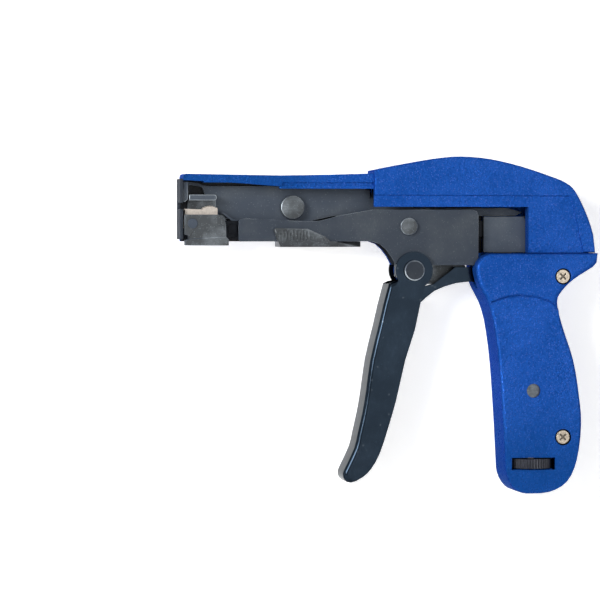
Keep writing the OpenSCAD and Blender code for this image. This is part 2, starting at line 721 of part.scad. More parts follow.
module handle_cover() color("royalblue") difference() {
    union() {
        difference() {
            rounded_slab(GRIP, cover_out, parting, edge_r, 0);
            slab(inset(GRIP, shell_t), cover_in, parting + cut);
        }
        for (s = SCREWS) pin(s[0], s[1], screw_post_r, cover_in - cut, parting);
        pin(fulcrum_x, fulcrum_z, boss_r, cover_in - cut, parting);
    }
    slab(place(panel_shares, grip_x0, -step_run, grip_w, grip_drop), cover_out - cut,
        cover_out + panel_step);
    step_slope(place([for (i = [0 : 8]) panel_shares[i]], grip_x0, 0, grip_w, grip_drop));
    translate([grip_x0 - cut, cover_out, cover_top - band_h]) rotate([-band_tilt, 0, 0])
        translate([0, -2 * cut, 0]) cube([grip_w + 2 * cut, 2 * cut, 2 * band_h]);
    block(rod_x - window_w / 2, rod_x + window_w / 2, cover_out - cut, cover_in + cut,
        knob_z0 - (window_h - knob_h) / 2, knob_z1 + (window_h - knob_h) / 2);
    pin(rod_x, sight_z, sight_r, cover_out - cut, cover_in + cut);
    for (i = [0, 1]) {
        pin(SCREWS[i][0], SCREWS[i][1], screw_head_r + screw_room, cover_out - cut, SCREW_FLOORS[i]);
        pin(SCREWS[i][0], SCREWS[i][1], screw_shank_r + fit, SCREW_FLOORS[i] - cut / 2, parting + cut);
    }
    pin(fulcrum_x, fulcrum_z, fulcrum_r + fit, fulcrum_y0 - fit, parting + cut);
    block(grip_x0 - cut, plate_x1 + gap, plate_out - gap, parting + cut,
        plate_bottom - gap, cover_top + cut);
}

module cover_screws() color("silver") for (i = [0, 1]) difference() {
    union() {
        pin(SCREWS[i][0], SCREWS[i][1], screw_head_r, SCREW_FLOORS[i] - screw_head_t, SCREW_FLOORS[i]);
        pin(SCREWS[i][0], SCREWS[i][1], screw_shank_r, SCREW_FLOORS[i] - fit, screw_y1);
    }
    for (a = [45, 135]) translate([SCREWS[i][0], SCREW_FLOORS[i] - screw_head_t - cut, SCREWS[i][1]])
        rotate([0, a, 0]) translate([-0.62 * screw_head_r, 0, -0.12 * screw_head_r])
        cube([1.24 * screw_head_r, cut + 0.6 * screw_head_t, 0.24 * screw_head_r]);
}

module side_plate() color("dimgray") difference() {
    union() {
        slab(PLATE, plate_out, plate_in);
        pivot_lobe(plate_out, plate_in);
        block(fold_x0, fold_x1, plate_in - cut, plate_in + side_plate_t / 2,
            fold_z + side_plate_t / 4, fold_z + 3 * side_plate_t / 4);
    }
    pin(trigger_x, trigger_z, trigger_pin_r + fit, plate_out - cut, plate_in + cut);
    pin(plate_rivet_x, plate_rivet_z, plate_rivet_r + fit, plate_out - cut, plate_in + cut);
}

module pivot_plate() color("dimgray") difference() {
    slab(place(pivot_shares, trigger_x - pivot_over, trigger_z + pivot_up, pivot_l, pivot_h),
        wall_in - pivot_plate_t, wall_in);
    pin(trigger_x, trigger_z, trigger_pin_r + fit, wall_in - pivot_plate_t - cut, wall_in + cut);
}

module guide_clip() color("gray") {
    slab(place(clip_shares, clip_x0, clip_z1, clip_l, clip_z1 - clip_z0), clip_near, plate_out);
    for (i = [1 : clip_ridges]) let (x = clip_x0 + 0.62 * clip_l * i / (clip_ridges + 1))
        block(x - ridge_w / 2, x + ridge_w / 2, clip_near - ridge_w / 3, clip_near + ridge_w,
            clip_z1 - 0.19 * clip_l, clip_z1 - 0.025 * clip_l * (1 + i % 3));
    block(clip_x0 + 0.107 * clip_l, clip_x0 + clip_l, clip_near, clip_far, clip_z0, fold_z);
    block(clip_x0 + clip_l / 2, clip_x0 + clip_reach, plate_in, clip_far, clip_z0, fold_z);
    block(clip_x0 + 0.107 * clip_l, clip_x0 + clip_reach, wall_out, clip_far, clip_z0, clip_z1);
}

module nose_plate() color("dimgray") difference() {
    block(0, nose_t, nose_y0, nose_y1, -nose_down, nose_up);
    block(-cut, nose_t + cut, nose_y0 - cut, slot_y1, -slot_top, slot_top);
}

module plate_rivet() color("gray") {
    pin(plate_rivet_x, plate_rivet_z, plate_rivet_head_r, plate_out - head_t, plate_out);
    pin(plate_rivet_x, plate_rivet_z, plate_rivet_r, plate_out - fit, wall_out + fit);
    pin(plate_rivet_x, plate_rivet_z, plate_rivet_head_r, wall_out, wall_out + head_t);
}

module lever_rivet() color("gray") {
    pin(lever_x, lever_z, lever_head_r, lever_y0 - fit - lever_head_t, lever_y0 - fit);
    pin(lever_x, lever_z, lever_rivet_r, lever_y0 - 2 * fit, wall_out + fit);
    pin(lever_x, lever_z, lever_head_r, wall_out, wall_out + head_t);
}

module trigger_pin() color("gray") {
    pin(trigger_x, trigger_z, trigger_head_r, trigger_near - fit - trigger_head_t, trigger_near - fit);
    pin(trigger_x, trigger_z, trigger_pin_r, trigger_near - 2 * fit, trigger_far + head_t);
}

module retaining_clip() color("silver") difference() {
    pin(trigger_x, trigger_z, 1.7 * trigger_pin_r, trigger_far + fit, trigger_far + 0.8 * head_t);
    pin(trigger_x, trigger_z, trigger_pin_r + fit, trigger_far - cut, trigger_far + head_t + cut);
    block(trigger_x - trigger_pin_r / 2, trigger_x + trigger_pin_r / 2, trigger_far - cut,
        trigger_far + head_t + cut, trigger_z - 2 * trigger_pin_r, trigger_z);
}

module fulcrum_pin() color("silver") pin(fulcrum_x, fulcrum_z, fulcrum_r, fulcrum_y0, fulcrum_y1);

module trip_pin() color("silver")
    pin(trip_x, trip_z, trip_pin_r, plate_out - trip_bite, hump_in + trip_bite);

module spring_seat() color("silver") difference() {
    block(rod_x - seat_half, rod_x + seat_half, cover_in + 2 * gap, grip_in - gap, seat_z0, seat_z1);
    translate([rod_x, rod_y, seat_z0 - cut]) cylinder(h = seat_t + 2 * cut, r = rod_r + gap);
}

module trigger_spring() color("silver")
    translate([trigger_x, plate_in + gap + trigger_wire_r, trigger_z]) rotate([-90, 0, 0])
    coil(trigger_pin_r + gap + trigger_wire_r, trigger_wire_r, trigger_curls,
        wall_in - pivot_plate_t - plate_in - 2 * gap - 2 * trigger_wire_r);

module tension_spring() color("silver") translate([rod_x, rod_y, nut_z1 + fit + wire_r])
    coil(coil_r, wire_r, spring_curls, spring_l - 2 * fit - 2 * wire_r);

module trigger() color("#111114") difference() {
    union() {
        difference() {
            slab(TRIGGER, trigger_near, trigger_far);
            slab(inset(TRIGGER, trigger_t), ear_near, ear_far);
            translate([3 * trigger_t, 0, 0]) slab(inset(TRIGGER, trigger_t), ear_near, ear_far);
            block(trigger_x - trigger_reach, trigger_x + trigger_reach, ear_near, ear_far,
                trigger_z - web_top_share * trigger_h, trigger_z + ear_r);
        }
        pin(trigger_x, trigger_z, ear_r, trigger_near, ear_near);
        pin(trigger_x, trigger_z, ear_r, ear_far, trigger_far);
    }
    pin(trigger_x, trigger_z, trigger_pin_r + fit, trigger_near - cut, trigger_far + cut);
    pin(link_x, link_z, link_pin_r + fit, link_pin_y0 - fit, link_pin_y1 + fit);
}

module link_pin() color("silver") pin(link_x, link_z, link_pin_r, link_pin_y0, link_pin_y1);

module drive_link() color("#111114") difference() {
    union() {
        slab(place(concat(link_top_shares, link_low_shares), link_x, link_z, link_l, link_l),
            bar_y0, bar_plane);
        pin(link_x, link_z, link_end_r, bar_y0, bar_plane);
        pin(rocker_x, rocker_z, link_end_r, bar_y0, bar_plane);
    }
    pin(link_x, link_z, link_pin_r + fit, bar_y0 - cut, bar_plane + cut);
    rising_slot(rocker_x, rocker_z, link_pin_r + fit, link_rise, bar_y0 - cut, bar_plane + cut);
}

// One cheek, from the fulcrum to the pin at its outer end
module cheek(x, z, y) difference() {
    arm(fulcrum_x, fulcrum_z, 2 * fulcrum_r, x, z, 1.8 * link_pin_r, y, y + cheek_t);
    pin(fulcrum_x, fulcrum_z, fulcrum_r + fit, y - cut, y + cheek_t + cut);
    pin(rocker_x, rocker_z, link_pin_r + fit, y - cut, y + cheek_t + cut);
    pin(bar_pin_x, bar_pin_z, link_pin_r + fit, y - cut, y + cheek_t + cut);
}

module rocker_cheeks() color("gray") {
    cheek(rocker_x, rocker_z, cheek_y0 - cheek_t);
    cheek(bar_pin_x, bar_pin_z, cheek_y1);
}

module rocker_hub() color("silver") difference() {
    pin(fulcrum_x, fulcrum_z, 1.6 * fulcrum_r, cheek_y0, cheek_y1);
    pin(fulcrum_x, fulcrum_z, fulcrum_r + fit, cheek_y0 - cut, cheek_y1 + cut);
}

module rocker_pins() color("silver") {
    pin(rocker_x, rocker_z, link_pin_r, cheek_y0 - cheek_t, cheek_y1 + cheek_t);
    pin(bar_pin_x, bar_pin_z, link_pin_r, bar_y0 + bar_skin + fit, cheek_y1 + cheek_t);
}

module pull_bar() color("dimgray") difference() {
    slab([[bar_x0, bar_z1], [plate_rivet_x - stroke - bar_shoulder, bar_z1],
        [plate_rivet_x - stroke - bar_shoulder / 2, bar_z1 + bar_lift],
        [plate_rivet_x + bar_shoulder / 2, bar_z1 + bar_lift],
        [plate_rivet_x + bar_shoulder, bar_z1], [bar_head_x0, bar_z1],
        [bar_head_x0, bar_head_z1], [bar_head_x1 - bar_shoulder / 6, bar_head_z1],
        [bar_head_x1, bar_head_z1 - bar_shoulder / 6], [bar_head_x1, bar_head_z0],
        [bar_head_x0, bar_head_z0], [bar_head_x0, bar_z0], [bar_x0, bar_z0]],
        bar_y0, bar_plane);
    pin(plate_rivet_x, plate_rivet_z, plate_rivet_r + fit, bar_y0 - cut, bar_plane + cut);
    pin(plate_rivet_x - stroke, plate_rivet_z, plate_rivet_r + fit, bar_y0 - cut, bar_plane + cut);
    block(plate_rivet_x - stroke, plate_rivet_x, bar_y0 - cut, bar_plane + cut,
        plate_rivet_z - plate_rivet_r - fit, plate_rivet_z + plate_rivet_r + fit);
    rising_slot(bar_pin_x, bar_pin_z, link_pin_r + fit, bar_rise, bar_y0 + bar_skin, bar_plane + cut);
    block(bar_head_x0 - bar_neck_l, bar_head_x0, bar_y0 - cut, bar_y0 + bar_t / 2,
        bar_z0 - cut, bar_head_z1 + cut);
    for (x = bar_rivet_xs) pin(x, bar_z0 + bar_h / 2, bar_rivet_r + fit, bar_y0 - cut, bar_plane + cut);
}

module pawl_bracket() color("gray") difference() {
    union() {
        slab([[bracket_x0, bracket_z1], [bracket_x1 - 2.6 * bracket_t, bracket_z1],
            [bracket_x1 - 1.2 * bracket_t, bracket_z1 - 0.6 * bracket_t],
            [bracket_x1 - 0.3 * bracket_t, bracket_z1 - 1.8 * bracket_t],
            [bracket_x1, bracket_z1 - 3 * bracket_t], [bracket_x1, bracket_z0],
            [bracket_x0, bracket_z0], [bracket_x0, bracket_z0 + 1.6 * bracket_t],
            [bracket_x0 + 1.2 * bracket_t, bracket_z0 + 1.9 * bracket_t],
            [bracket_x0 + 1.2 * bracket_t, bracket_z0 + 2.9 * bracket_t],
            [bracket_x0, bracket_z0 + 3.3 * bracket_t]], bracket_out, bracket_out + bracket_t);
        block(bracket_x0 + 1.2 * bracket_t, bracket_x1, bracket_out, bracket_in,
            bracket_z0, bracket_z0 + web_t);
        slab([[bracket_x0 + hem_out, bracket_z0], [bracket_x0 + hem_out, bracket_z0 + 0.5 * hem_h],
            [bracket_x0 + 1.2 * bracket_t, bracket_z0 + 0.75 * hem_h],
            [bracket_x1 - bracket_t, bracket_z0 + hem_h], [bracket_x1, bracket_z0 + hem_h],
            [bracket_x1 + hem_over, bracket_z0 + 0.7 * hem_h], [bracket_x1 + hem_over, bracket_z0]],
            bracket_out - hem_out, bracket_out + bracket_t / 2);
        slab([[anvil_x0, anvil_z1], [anvil_x1, anvil_z1], [anvil_x1 + gap, bracket_z1],
            [bracket_x1, bracket_z1], [bracket_x1 + bracket_t, bar_z1], [bracket_tail_x, bar_z1],
            [bracket_tail_x, bar_z0], [bracket_x1 + bracket_t, bar_z0], [bracket_x1, bracket_z0],
            [anvil_x0, bracket_z0]], bar_plane, bracket_in);
    }
    pin(pawl_pin_x, pawl_pin_z, pawl_pin_r + fit, bracket_out - cut, bracket_in + cut);
    for (x = bar_rivet_xs) pin(x, bar_z0 + bar_h / 2, bar_rivet_r + fit, bar_plane - cut, bracket_in + cut);
}

module bar_rivets() color("silver") for (x = bar_rivet_xs) {
    pin(x, bar_z0 + bar_h / 2, bar_rivet_r, bar_y0 - fit, bracket_in);
    pin(x, bar_z0 + bar_h / 2, 1.6 * bar_rivet_r, bar_y0 - head_t / 2, bar_y0);
}

module grip_anvil() color("gray") slab(concat([[anvil_x0, anvil_z0], [anvil_x0, anvil_z1]],
    [for (a = [90 : -30 : -90]) [anvil_x1 + anvil_h * (cos(a) - 1) / 2,
        anvil_z0 + anvil_h * (sin(a) + 1) / 2]]), pawl_y0, bar_plane);

module pawl_pin() color("dimgray") {
    pin(pawl_pin_x, pawl_pin_z, 1.2 * pawl_pin_r, bracket_out - head_t / 3, bracket_out);
    pin(pawl_pin_x, pawl_pin_z, pawl_pin_r, bracket_out - fit, bracket_in);
}

module pawl_spring() color("dimgray") slab([[bar_x0 + leaf_l, bar_z1], [bar_x0 + leaf_l, bar_z1 + leaf_t],
    [bar_x0 + 0.6 * leaf_l, bar_z1 + leaf_t], [bar_x0 + 0.2 * leaf_l, bracket_z1 + 1.5 * leaf_t],
    [bar_x0 + 0.06 * leaf_l, bracket_z1 + 2 * leaf_t], [bar_x0 + 0.05 * leaf_l, bracket_z1 + leaf_t],
    [bar_x0 + 0.16 * leaf_l, bracket_z1 + leaf_t / 2], [bar_x0 + 0.52 * leaf_l, bar_z1]],
    bar_y0 + gap, bar_plane - gap);

module gripper_pawl() color("tan") difference() {
    union() {
        slab(concat([[pawl_x0 + pawl_lean, pawl_z1 - pawl_dip]], TEETH,
            [[pawl_x1, crest(pawl_x1) - tooth_depth], [pawl_x1, bracket_z1],
            [pawl_pin_x + 0.9 * pawl_lobe_r, pawl_pin_z - pawl_lobe_r / 2],
            [pawl_pin_x, pawl_pin_z - pawl_lobe_r / 2], [pawl_x0, pawl_pin_z]]),
            pawl_y0, bar_plane - gap);
        pin(pawl_pin_x, pawl_pin_z, pawl_lobe_r, pawl_y0, bar_plane - gap);
    }
    pin(pawl_pin_x, pawl_pin_z, pawl_pin_r + fit, pawl_y0 - cut, bar_plane + cut);
}

module cutter_lever() color("dimgray") difference() {
    slab(concat(place(lever_front_shares, lever_x, lever_z, -lever_run, -lever_rise),
        place(lever_back_shares, lever_back_x, lever_z, trip_x - lever_back_x - trip_reach, -lever_rise),
        [[strip_x1 - trip_bite * 5, strip_z1], [strip_x1, (strip_z0 + strip_z1) / 2],
        [strip_x1 - 2.5 * trip_bite, strip_z0], [lever_x + 3.5 * lever_head_r, strip_z0],
        [lever_x + 1.3 * lever_head_r, lever_low_z], [lever_x - 3 * lever_head_r, lever_low_z]],
        place(lever_nose_shares, lever_x, lever_z, -lever_run, -lever_rise)), lever_y0, lever_y1);
    pin(lever_x, lever_z, lever_rivet_r + fit, lever_y0 - cut, lever_y1 + cut);
}

module cutter_blade() color("lightgray") difference() {
    block(blade_x0, blade_x1, blade_y0, blade_y1, blade_low, blade_low + blade_h);
    block(blade_x0 - cut, blade_x1 + cut, blade_step, blade_y1 + cut,
        finger_z0 - blade_gap, blade_low + blade_h + cut);
    slab([[blade_x0 + blade_t / 3, blade_low - cut], [blade_x0 + blade_t / 3, blade_low],
        [blade_x1, blade_low + blade_t / 2], [blade_x1 + cut, blade_low + blade_t / 2],
        [blade_x1 + cut, blade_low - cut]], blade_y0 - cut, blade_y1 + cut);
}

module trip_lever() color("gray") difference() {
    union() {
        slab([[nose_x - trip_nose / 2, strip_z0 - gap - trip_nose], [nose_x - trip_nose / 4, strip_z0 - gap],
            [nose_x + trip_nose / 2, strip_z0 - gap],
            [yoke_pin_x - yoke_pin_r, yoke_pin_z + 1.6 * yoke_pin_r], [trip_x, trip_z + trip_hub_r],
            [trip_x, trip_z - trip_hub_r], [yoke_pin_x, yoke_pin_z - 2.1 * yoke_pin_r],
            [nose_x + trip_nose / 2, strip_z0 - gap - 2.2 * trip_nose]], lever_y0, lever_y1);
        pin(trip_x, trip_z, trip_hub_r, lever_y0, lever_y1);
    }
    pin(trip_x, trip_z, trip_pin_r + fit, lever_y0 - cut, lever_y1 + cut);
    pin(yoke_pin_x, yoke_pin_z, yoke_pin_r + fit, lever_y0 - cut, lever_y1 + cut);
}

module yoke_pin() color("silver")
    pin(yoke_pin_x, yoke_pin_z, yoke_pin_r, lever_y0, yoke_y1 + gap);

module tension_yoke() color("gray") difference() {
    union() {
        block(yoke_pin_x - yoke_half, yoke_pin_x + yoke_half, yoke_y0, yoke_y1,
            foot_z0, yoke_pin_z + yoke_half);
        block(rod_x - 2 * rod_r, yoke_pin_x + yoke_half, rod_y - 1.5 * rod_r, yoke_y1, foot_z0, foot_z1);
    }
    for (s = [-1, 1]) pin(yoke_pin_x + s * gap, yoke_pin_z, yoke_pin_r + fit, yoke_y0 - cut, yoke_y1 + cut);
    block(yoke_pin_x - gap, yoke_pin_x + gap, yoke_y0 - cut, yoke_y1 + cut,
        yoke_pin_z - yoke_pin_r - fit, yoke_pin_z + yoke_pin_r + fit);
    translate([rod_x, rod_y, foot_z0 - cut]) cylinder(h = foot_t + 2 * cut, r = rod_r + fit);
}

module tension_rod() color("silver") translate([rod_x, rod_y, 0]) {
    translate([0, 0, foot_z1 + fit]) cylinder(h = 1.6 * foot_t, r = 1.5 * rod_r);
    translate([0, 0, thread_z0]) cylinder(h = foot_z1 + foot_t - thread_z0, r = rod_r);
    translate([-shank_w / 2, -shank_w / 2, shelf_z1 - shelf_t / 2])
        cube([shank_w, shank_w, thread_z0 - shelf_z1 + shelf_t]);
}

module tension_nut() color("silver") difference() {
    block(rod_x - nut_half, rod_x + nut_half, flag_y1, 2 * rod_y - flag_y1, nut_z0, nut_z1);
    translate([rod_x, rod_y, nut_z0 - cut]) cylinder(h = nut_t + 2 * cut, r = rod_r + fit);
}

module indicator_plate() color("gray")
    block(rod_x - sight_r - gap, rod_x + sight_r + gap, flag_y0, flag_y1, nut_z0, sight_z + sight_r + gap);

module adjusting_knob() color("#222226") difference() {
    translate([rod_x, rod_y, knob_z0]) linear_extrude(knob_h)
        polygon([for (i = [0 : 2 * knob_ridges - 1])
            let (a = 180 * i / knob_ridges, r = knob_r * (1 - 0.06 * (i % 2))) [r * cos(a), r * sin(a)]]);
    translate([rod_x - shank_w / 2 - fit, rod_y - shank_w / 2 - fit, knob_z0 - cut])
        cube([shank_w + 2 * fit, shank_w + 2 * fit, knob_h + 2 * cut]);
}

main_frame();
handle_cover();
cover_screws();
side_plate();
pivot_plate();
guide_clip();
nose_plate();
plate_rivet();
lever_rivet();
trigger_pin();
fulcrum_pin();
trip_pin();
retaining_clip();
spring_seat();
trigger_spring();
tension_spring();
trigger();
link_pin();
drive_link();
rocker_cheeks();
rocker_hub();
rocker_pins();
pull_bar();
pawl_bracket();
bar_rivets();
grip_anvil();
pawl_pin();
pawl_spring();
gripper_pawl();
cutter_lever();
cutter_blade();
trip_lever();
yoke_pin();
tension_yoke();
tension_rod();
tension_nut();
indicator_plate();
adjusting_knob();
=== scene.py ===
"""Looks of the cable tie tensioning tool: finishes, softened edges and the studio."""

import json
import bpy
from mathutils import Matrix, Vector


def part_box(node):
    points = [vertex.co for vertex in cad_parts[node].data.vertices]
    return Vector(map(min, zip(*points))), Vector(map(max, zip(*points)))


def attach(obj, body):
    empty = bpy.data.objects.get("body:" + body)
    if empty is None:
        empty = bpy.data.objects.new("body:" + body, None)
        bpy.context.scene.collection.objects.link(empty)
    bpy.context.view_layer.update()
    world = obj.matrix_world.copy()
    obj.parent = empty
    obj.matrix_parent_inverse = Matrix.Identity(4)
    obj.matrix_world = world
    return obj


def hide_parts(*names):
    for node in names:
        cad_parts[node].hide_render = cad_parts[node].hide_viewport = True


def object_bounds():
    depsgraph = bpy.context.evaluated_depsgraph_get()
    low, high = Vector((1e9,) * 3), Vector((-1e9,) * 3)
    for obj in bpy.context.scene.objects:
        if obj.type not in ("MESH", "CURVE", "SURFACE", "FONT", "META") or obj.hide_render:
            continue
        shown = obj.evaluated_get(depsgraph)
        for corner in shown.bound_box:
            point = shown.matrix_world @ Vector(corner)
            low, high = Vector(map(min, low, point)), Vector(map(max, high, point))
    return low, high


bl_info = {
    "name": "Cable tie tensioning tool",
    "version": (1, 0, 0),
    "blender": (4, 5, 0),
    "location": "3D View > Sidebar > Tie Tool",
    "description": "Dresses the packed tie tensioning tool and sets up its studio",
    "category": "Object",
}

from math import cos, radians, sin

import bmesh
import bpy
from bpy.props import FloatProperty, FloatVectorProperty, PointerProperty
from mathutils import Matrix, Vector

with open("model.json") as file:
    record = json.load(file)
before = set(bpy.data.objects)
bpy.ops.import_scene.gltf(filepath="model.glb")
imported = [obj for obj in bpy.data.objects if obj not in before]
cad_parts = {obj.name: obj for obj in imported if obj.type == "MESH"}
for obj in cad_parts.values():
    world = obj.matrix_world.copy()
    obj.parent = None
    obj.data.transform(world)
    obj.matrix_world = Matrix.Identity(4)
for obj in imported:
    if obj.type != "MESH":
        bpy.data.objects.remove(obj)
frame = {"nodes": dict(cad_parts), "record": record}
CAD_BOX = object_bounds()
BODY_OF = {n: b for b, ns in frame["record"]["behaviour"]["bodies"].items() for n in ns}
SLOT_OF = {p["node"]: p["material_slot"] for p in frame["record"]["subparts"]}

# ---- places on the tool, in metres in the part's frame ----

ON_PLANE = 0.00003               # how near a plane a point lies that counts as on it
CAVITY_Y = (-0.0047, 0.0037)     # from just inside the side plate to the casting's right wall
CAVITY_Z = (-0.0178, 0.0165)     # from just above the handle cover to under the hump's roof
HANDLE_X = 0.1125                # front of the handle's hollow, inside which no painted shade is given
PANEL_X = 0.0735                 # front end of the hump and of its sunken panel
PANEL_Z = (-0.0172, 0.0043)      # height over which the panel's steps are softened
PANEL_DIP = 0.0008               # depth under the casting's face that holds the panel's steps
HUMP_LOW_Z = -0.0003             # lower edge of the hump's left wall, which is no step of the panel
HUMP_LOW_REACH = 0.001           # how near that height an edge lies that is left out
STEP_DEPTH = 0.001               # depth of the cover's curved step
STEP_RISE = 0.0011               # how far its foot is lifted to make the slope steeper
ROLLED_Z = (-0.092, -0.040)      # height over which the cover's outline is rolled over
BAND_LENGTH = 0.02               # shortest edge that counts as a fold of the cover's long band
SCREW_HEAD = 0.0026              # from the screws' box to the middle of each head
SCREW_RECESS = 0.0033            # radius of the painted shade in the recess round each screw
RECESS_Y = (-0.0109, 0.0)        # depths over which the recess gets painted shade
SCREW_SPLIT_Z = (-0.06, -0.05)   # between the lower and the upper screw
SCREW_FACE_Y = (-0.01045, -0.01145)   # just under the face of the lower and of the upper head
NOSE_PAINTED_SHADE_X = (0.040, 0.062)    # where the painted shade on the left side at the nose fades out
HEEL_PAINTED_SHADE_Z = (-0.100, -0.070)  # where the painted shade at the heel fades out
BAR_PAINTED_SHADE_X = ((0.0, 0.0245), (0.112, 0.1178))   # stretches of the pull bar darkened to near black as painted shade
PIVOT_REACH = 0.0042             # how far the pivot plate's lower rear corner is drawn back

# ---- studio, in metres and watts ----

MIDDLE_X = 0.08                  # middle of the tool's length
FLOOR_SIZE, FLOOR_DROP = 8, 0.15 # the floor and its depth below the tool's foot
SHEET_SIZE, SHEET_GAP = 4, 0.0006          # the white sheet and its gap behind the tool
SHEET_LIFT = 1.84                # height of the sheet's middle above the tool's foot
WHITE, GLOW = 0.8, 0.62          # colour of the stage, and its strength when it is seen
DIM_AIR, SEEN_AIR = 0.14, 1.0    # strength of the world as a light, and when it is seen
CAMERA_TARGET = (0.04692, 0.0, -0.03593)
CAMERA_YAW, CAMERA_PITCH, CAMERA_DISTANCE = radians(8.3), radians(1.3), 1.3
CAMERA_LENS, CAMERA_SENSOR, CAMERA_CLIP = 203.8, 36, 0.05
LAMP_TARGET = (0.07, 0, -0.04)
LAMPS = (
    # name, width, power, place
    ("key_light", 0.5, 17.0, (-0.85, -0.9, 0.33)),
    ("fill_light", 0.9, 3.4, (0.35, -1.45, 0.05)),
    ("back_light", 0.8, 13.0, (-0.5, 1.3, 0.45)),
)

# ---- numbers of Blender's own sockets ----

MIX_A, MIX_B, MIX_COLOUR = 6, 7, 2


class TieToolFinish(bpy.types.PropertyGroup):
    """Colours of the tool's finishes"""

    casting_blue: FloatVectorProperty(
        name="Casting blue",
        description="Colour of the hammered paint on the casting and its cover",
        subtype="COLOR", size=4, min=0, max=1, default=(0.014, 0.080, 0.37, 1))
    # casting_deep is also the base of the painted shade at the nose and heel
    casting_deep: FloatVectorProperty(
        name="Casting shade", description="Darker blue in the hollows of the paint",
        subtype="COLOR", size=4, min=0, max=1, default=(0.006, 0.055, 0.27, 1))
    oxide: FloatVectorProperty(
        name="Black oxide", description="Colour of the blackened sheet steel",
        subtype="COLOR", size=4, min=0, max=1, default=(0.055, 0.068, 0.090, 1))
    worn: FloatVectorProperty(
        name="Worn steel", description="Colour of steel whose blacking has rubbed thin",
        subtype="COLOR", size=4, min=0, max=1, default=(0.110, 0.124, 0.136, 1))
    plated: FloatVectorProperty(
        name="Plated steel", description="Colour of the plated screws, pins and springs",
        subtype="COLOR", size=4, min=0, max=1, default=(0.36, 0.31, 0.25, 1))
    pale: FloatVectorProperty(
        name="Pale steel", description="Colour of the sintered gripper pawl",
        subtype="COLOR", size=4, min=0, max=1, default=(0.50, 0.45, 0.40, 1))
    enamel: FloatVectorProperty(
        name="Black enamel", description="Colour of the glossy trigger and drive link",
        subtype="COLOR", size=4, min=0, max=1, default=(0.0112, 0.0170, 0.0250, 1))
    # Painted shade: the near black given to the casting's inside, the screw recesses and the pull
    # bar's dark stretches
    painted_shade_colour: FloatVectorProperty(
        name="Inner grime",
        description="Colour of the oiled casting inside the barrel and the hump",
        subtype="COLOR", size=4, min=0, max=1, default=(0.008, 0.010, 0.014, 1))
    plastic: FloatVectorProperty(
        name="Knob plastic", description="Colour of the moulded adjusting knob",
        subtype="COLOR", size=4, min=0, max=1, default=(0.011, 0.0125, 0.019, 1))


class TieToolShape(bpy.types.PropertyGroup):
    """Sizes of the softened edges"""

    casting_edge: FloatProperty(
        name="Casting edge", description="Rounding of the casting's remaining sharp edges",
        unit="LENGTH", min=0, max=0.001, default=0.00018)
    seam_edge: FloatProperty(
        name="Seam edge", description="Rounding of the steps round the sunken panel by the window",
        unit="LENGTH", min=0, max=0.0003, default=0.0003)
    cover_roll: FloatProperty(
        name="Cover roll", description="Rounding of the cover's outline below its curved step",
        unit="LENGTH", min=0, max=0.0012, default=0.0009)
    step_edge: FloatProperty(
        name="Step edge", description="Rounding at the top and foot of the cover's curved step",
        unit="LENGTH", min=0, max=0.0004, default=0.0002)
    sheet_edge: FloatProperty(
        name="Sheet edge", description="Rounding of the stamped sheet's edges",
        unit="LENGTH", min=0, max=0.0004, default=0.00016)
    trigger_roll: FloatProperty(
        name="Trigger roll", description="Radius of the folds along the trigger's front",
        unit="LENGTH", min=0, max=0.0024, default=0.0018)
    rivet_edge: FloatProperty(
        name="Rivet edge", description="Rounding of the heads of rivets and pins",
        unit="LENGTH", min=0, max=0.0006, default=0.0003)
    fitting_edge: FloatProperty(
        name="Fitting edge", description="Rounding of the small inner fittings",
        unit="LENGTH", min=0, max=0.0003, default=0.00012)


# ---- node building ----

def wire(tree, node, links):
    """Gives inputs, by name or number, their values or links them to another node's output"""
    for key, value in links:
        if isinstance(value, bpy.types.NodeSocket):
            tree.links.new(value, node.inputs[key])
        else:
            node.inputs[key].default_value = value


def add(tree, kind, links=(), **settings):
    """A new node with its settings and its inputs' values and links"""
    node = tree.nodes.new(kind)
    for key, value in settings.items():
        setattr(node, key, value)
    wire(tree, node, links)
    return node


def maths(tree, operation, a, b, clamp=False):
    """The result of a sum on two numbers"""
    node = add(tree, "ShaderNodeMath", [(0, a), (1, b)], operation=operation, use_clamp=clamp)
    return node.outputs[0]


def vectors(tree, operation, a, b):
    """The node of a sum on two vectors"""
    return add(tree, "ShaderNodeVectorMath", [(0, a), (1, b)], operation=operation)


def noise(tree, where, scale, detail, **more):
    links = [("Vector", where), ("Scale", scale), ("Detail", detail), *more.items()]
    return add(tree, "ShaderNodeTexNoise", links)


def ranged(tree, value, from_low, from_high, to_low=0.0, to_high=1.0):
    """The value carried from one range to another and held within it"""
    ends = (value, from_low, from_high, to_low, to_high)
    return add(tree, "ShaderNodeMapRange", enumerate(ends)).outputs[0]


def spread(tree, mask, low, high):
    """A mask from 0 to 1 carried to a range of its own"""
    return ranged(tree, mask, 0.0, 1.0, low, high)


def mixed(tree, mask, a, b):
    """The first colour where the mask is 0 and the second where it is 1"""
    links = [(0, mask), (MIX_A, a), (MIX_B, b)]
    return add(tree, "ShaderNodeMix", links, data_type="RGBA").outputs[MIX_COLOUR]


def axes(tree, where):
    """The three coordinates of a place"""
    return add(tree, "ShaderNodeSeparateXYZ", [(0, where)]).outputs


def between(tree, value, low, high):
    """1 where the value lies between two limits, else 0"""
    above = maths(tree, "GREATER_THAN", value, low)
    below = maths(tree, "LESS_THAN", value, high)
    return maths(tree, "MULTIPLY", above, below)


def near(tree, where, centre, reach):
    """1 in a round zone about a point of the X-Z plane, at any Y, else 0"""
    flat = vectors(tree, "MULTIPLY", where, (1.0, 0.0, 1.0)).outputs[0]
    gap = vectors(tree, "DISTANCE", flat, (centre[0], 0.0, centre[1])).outputs["Value"]
    return maths(tree, "LESS_THAN", gap, reach)


# ---- effects shared by several materials ----

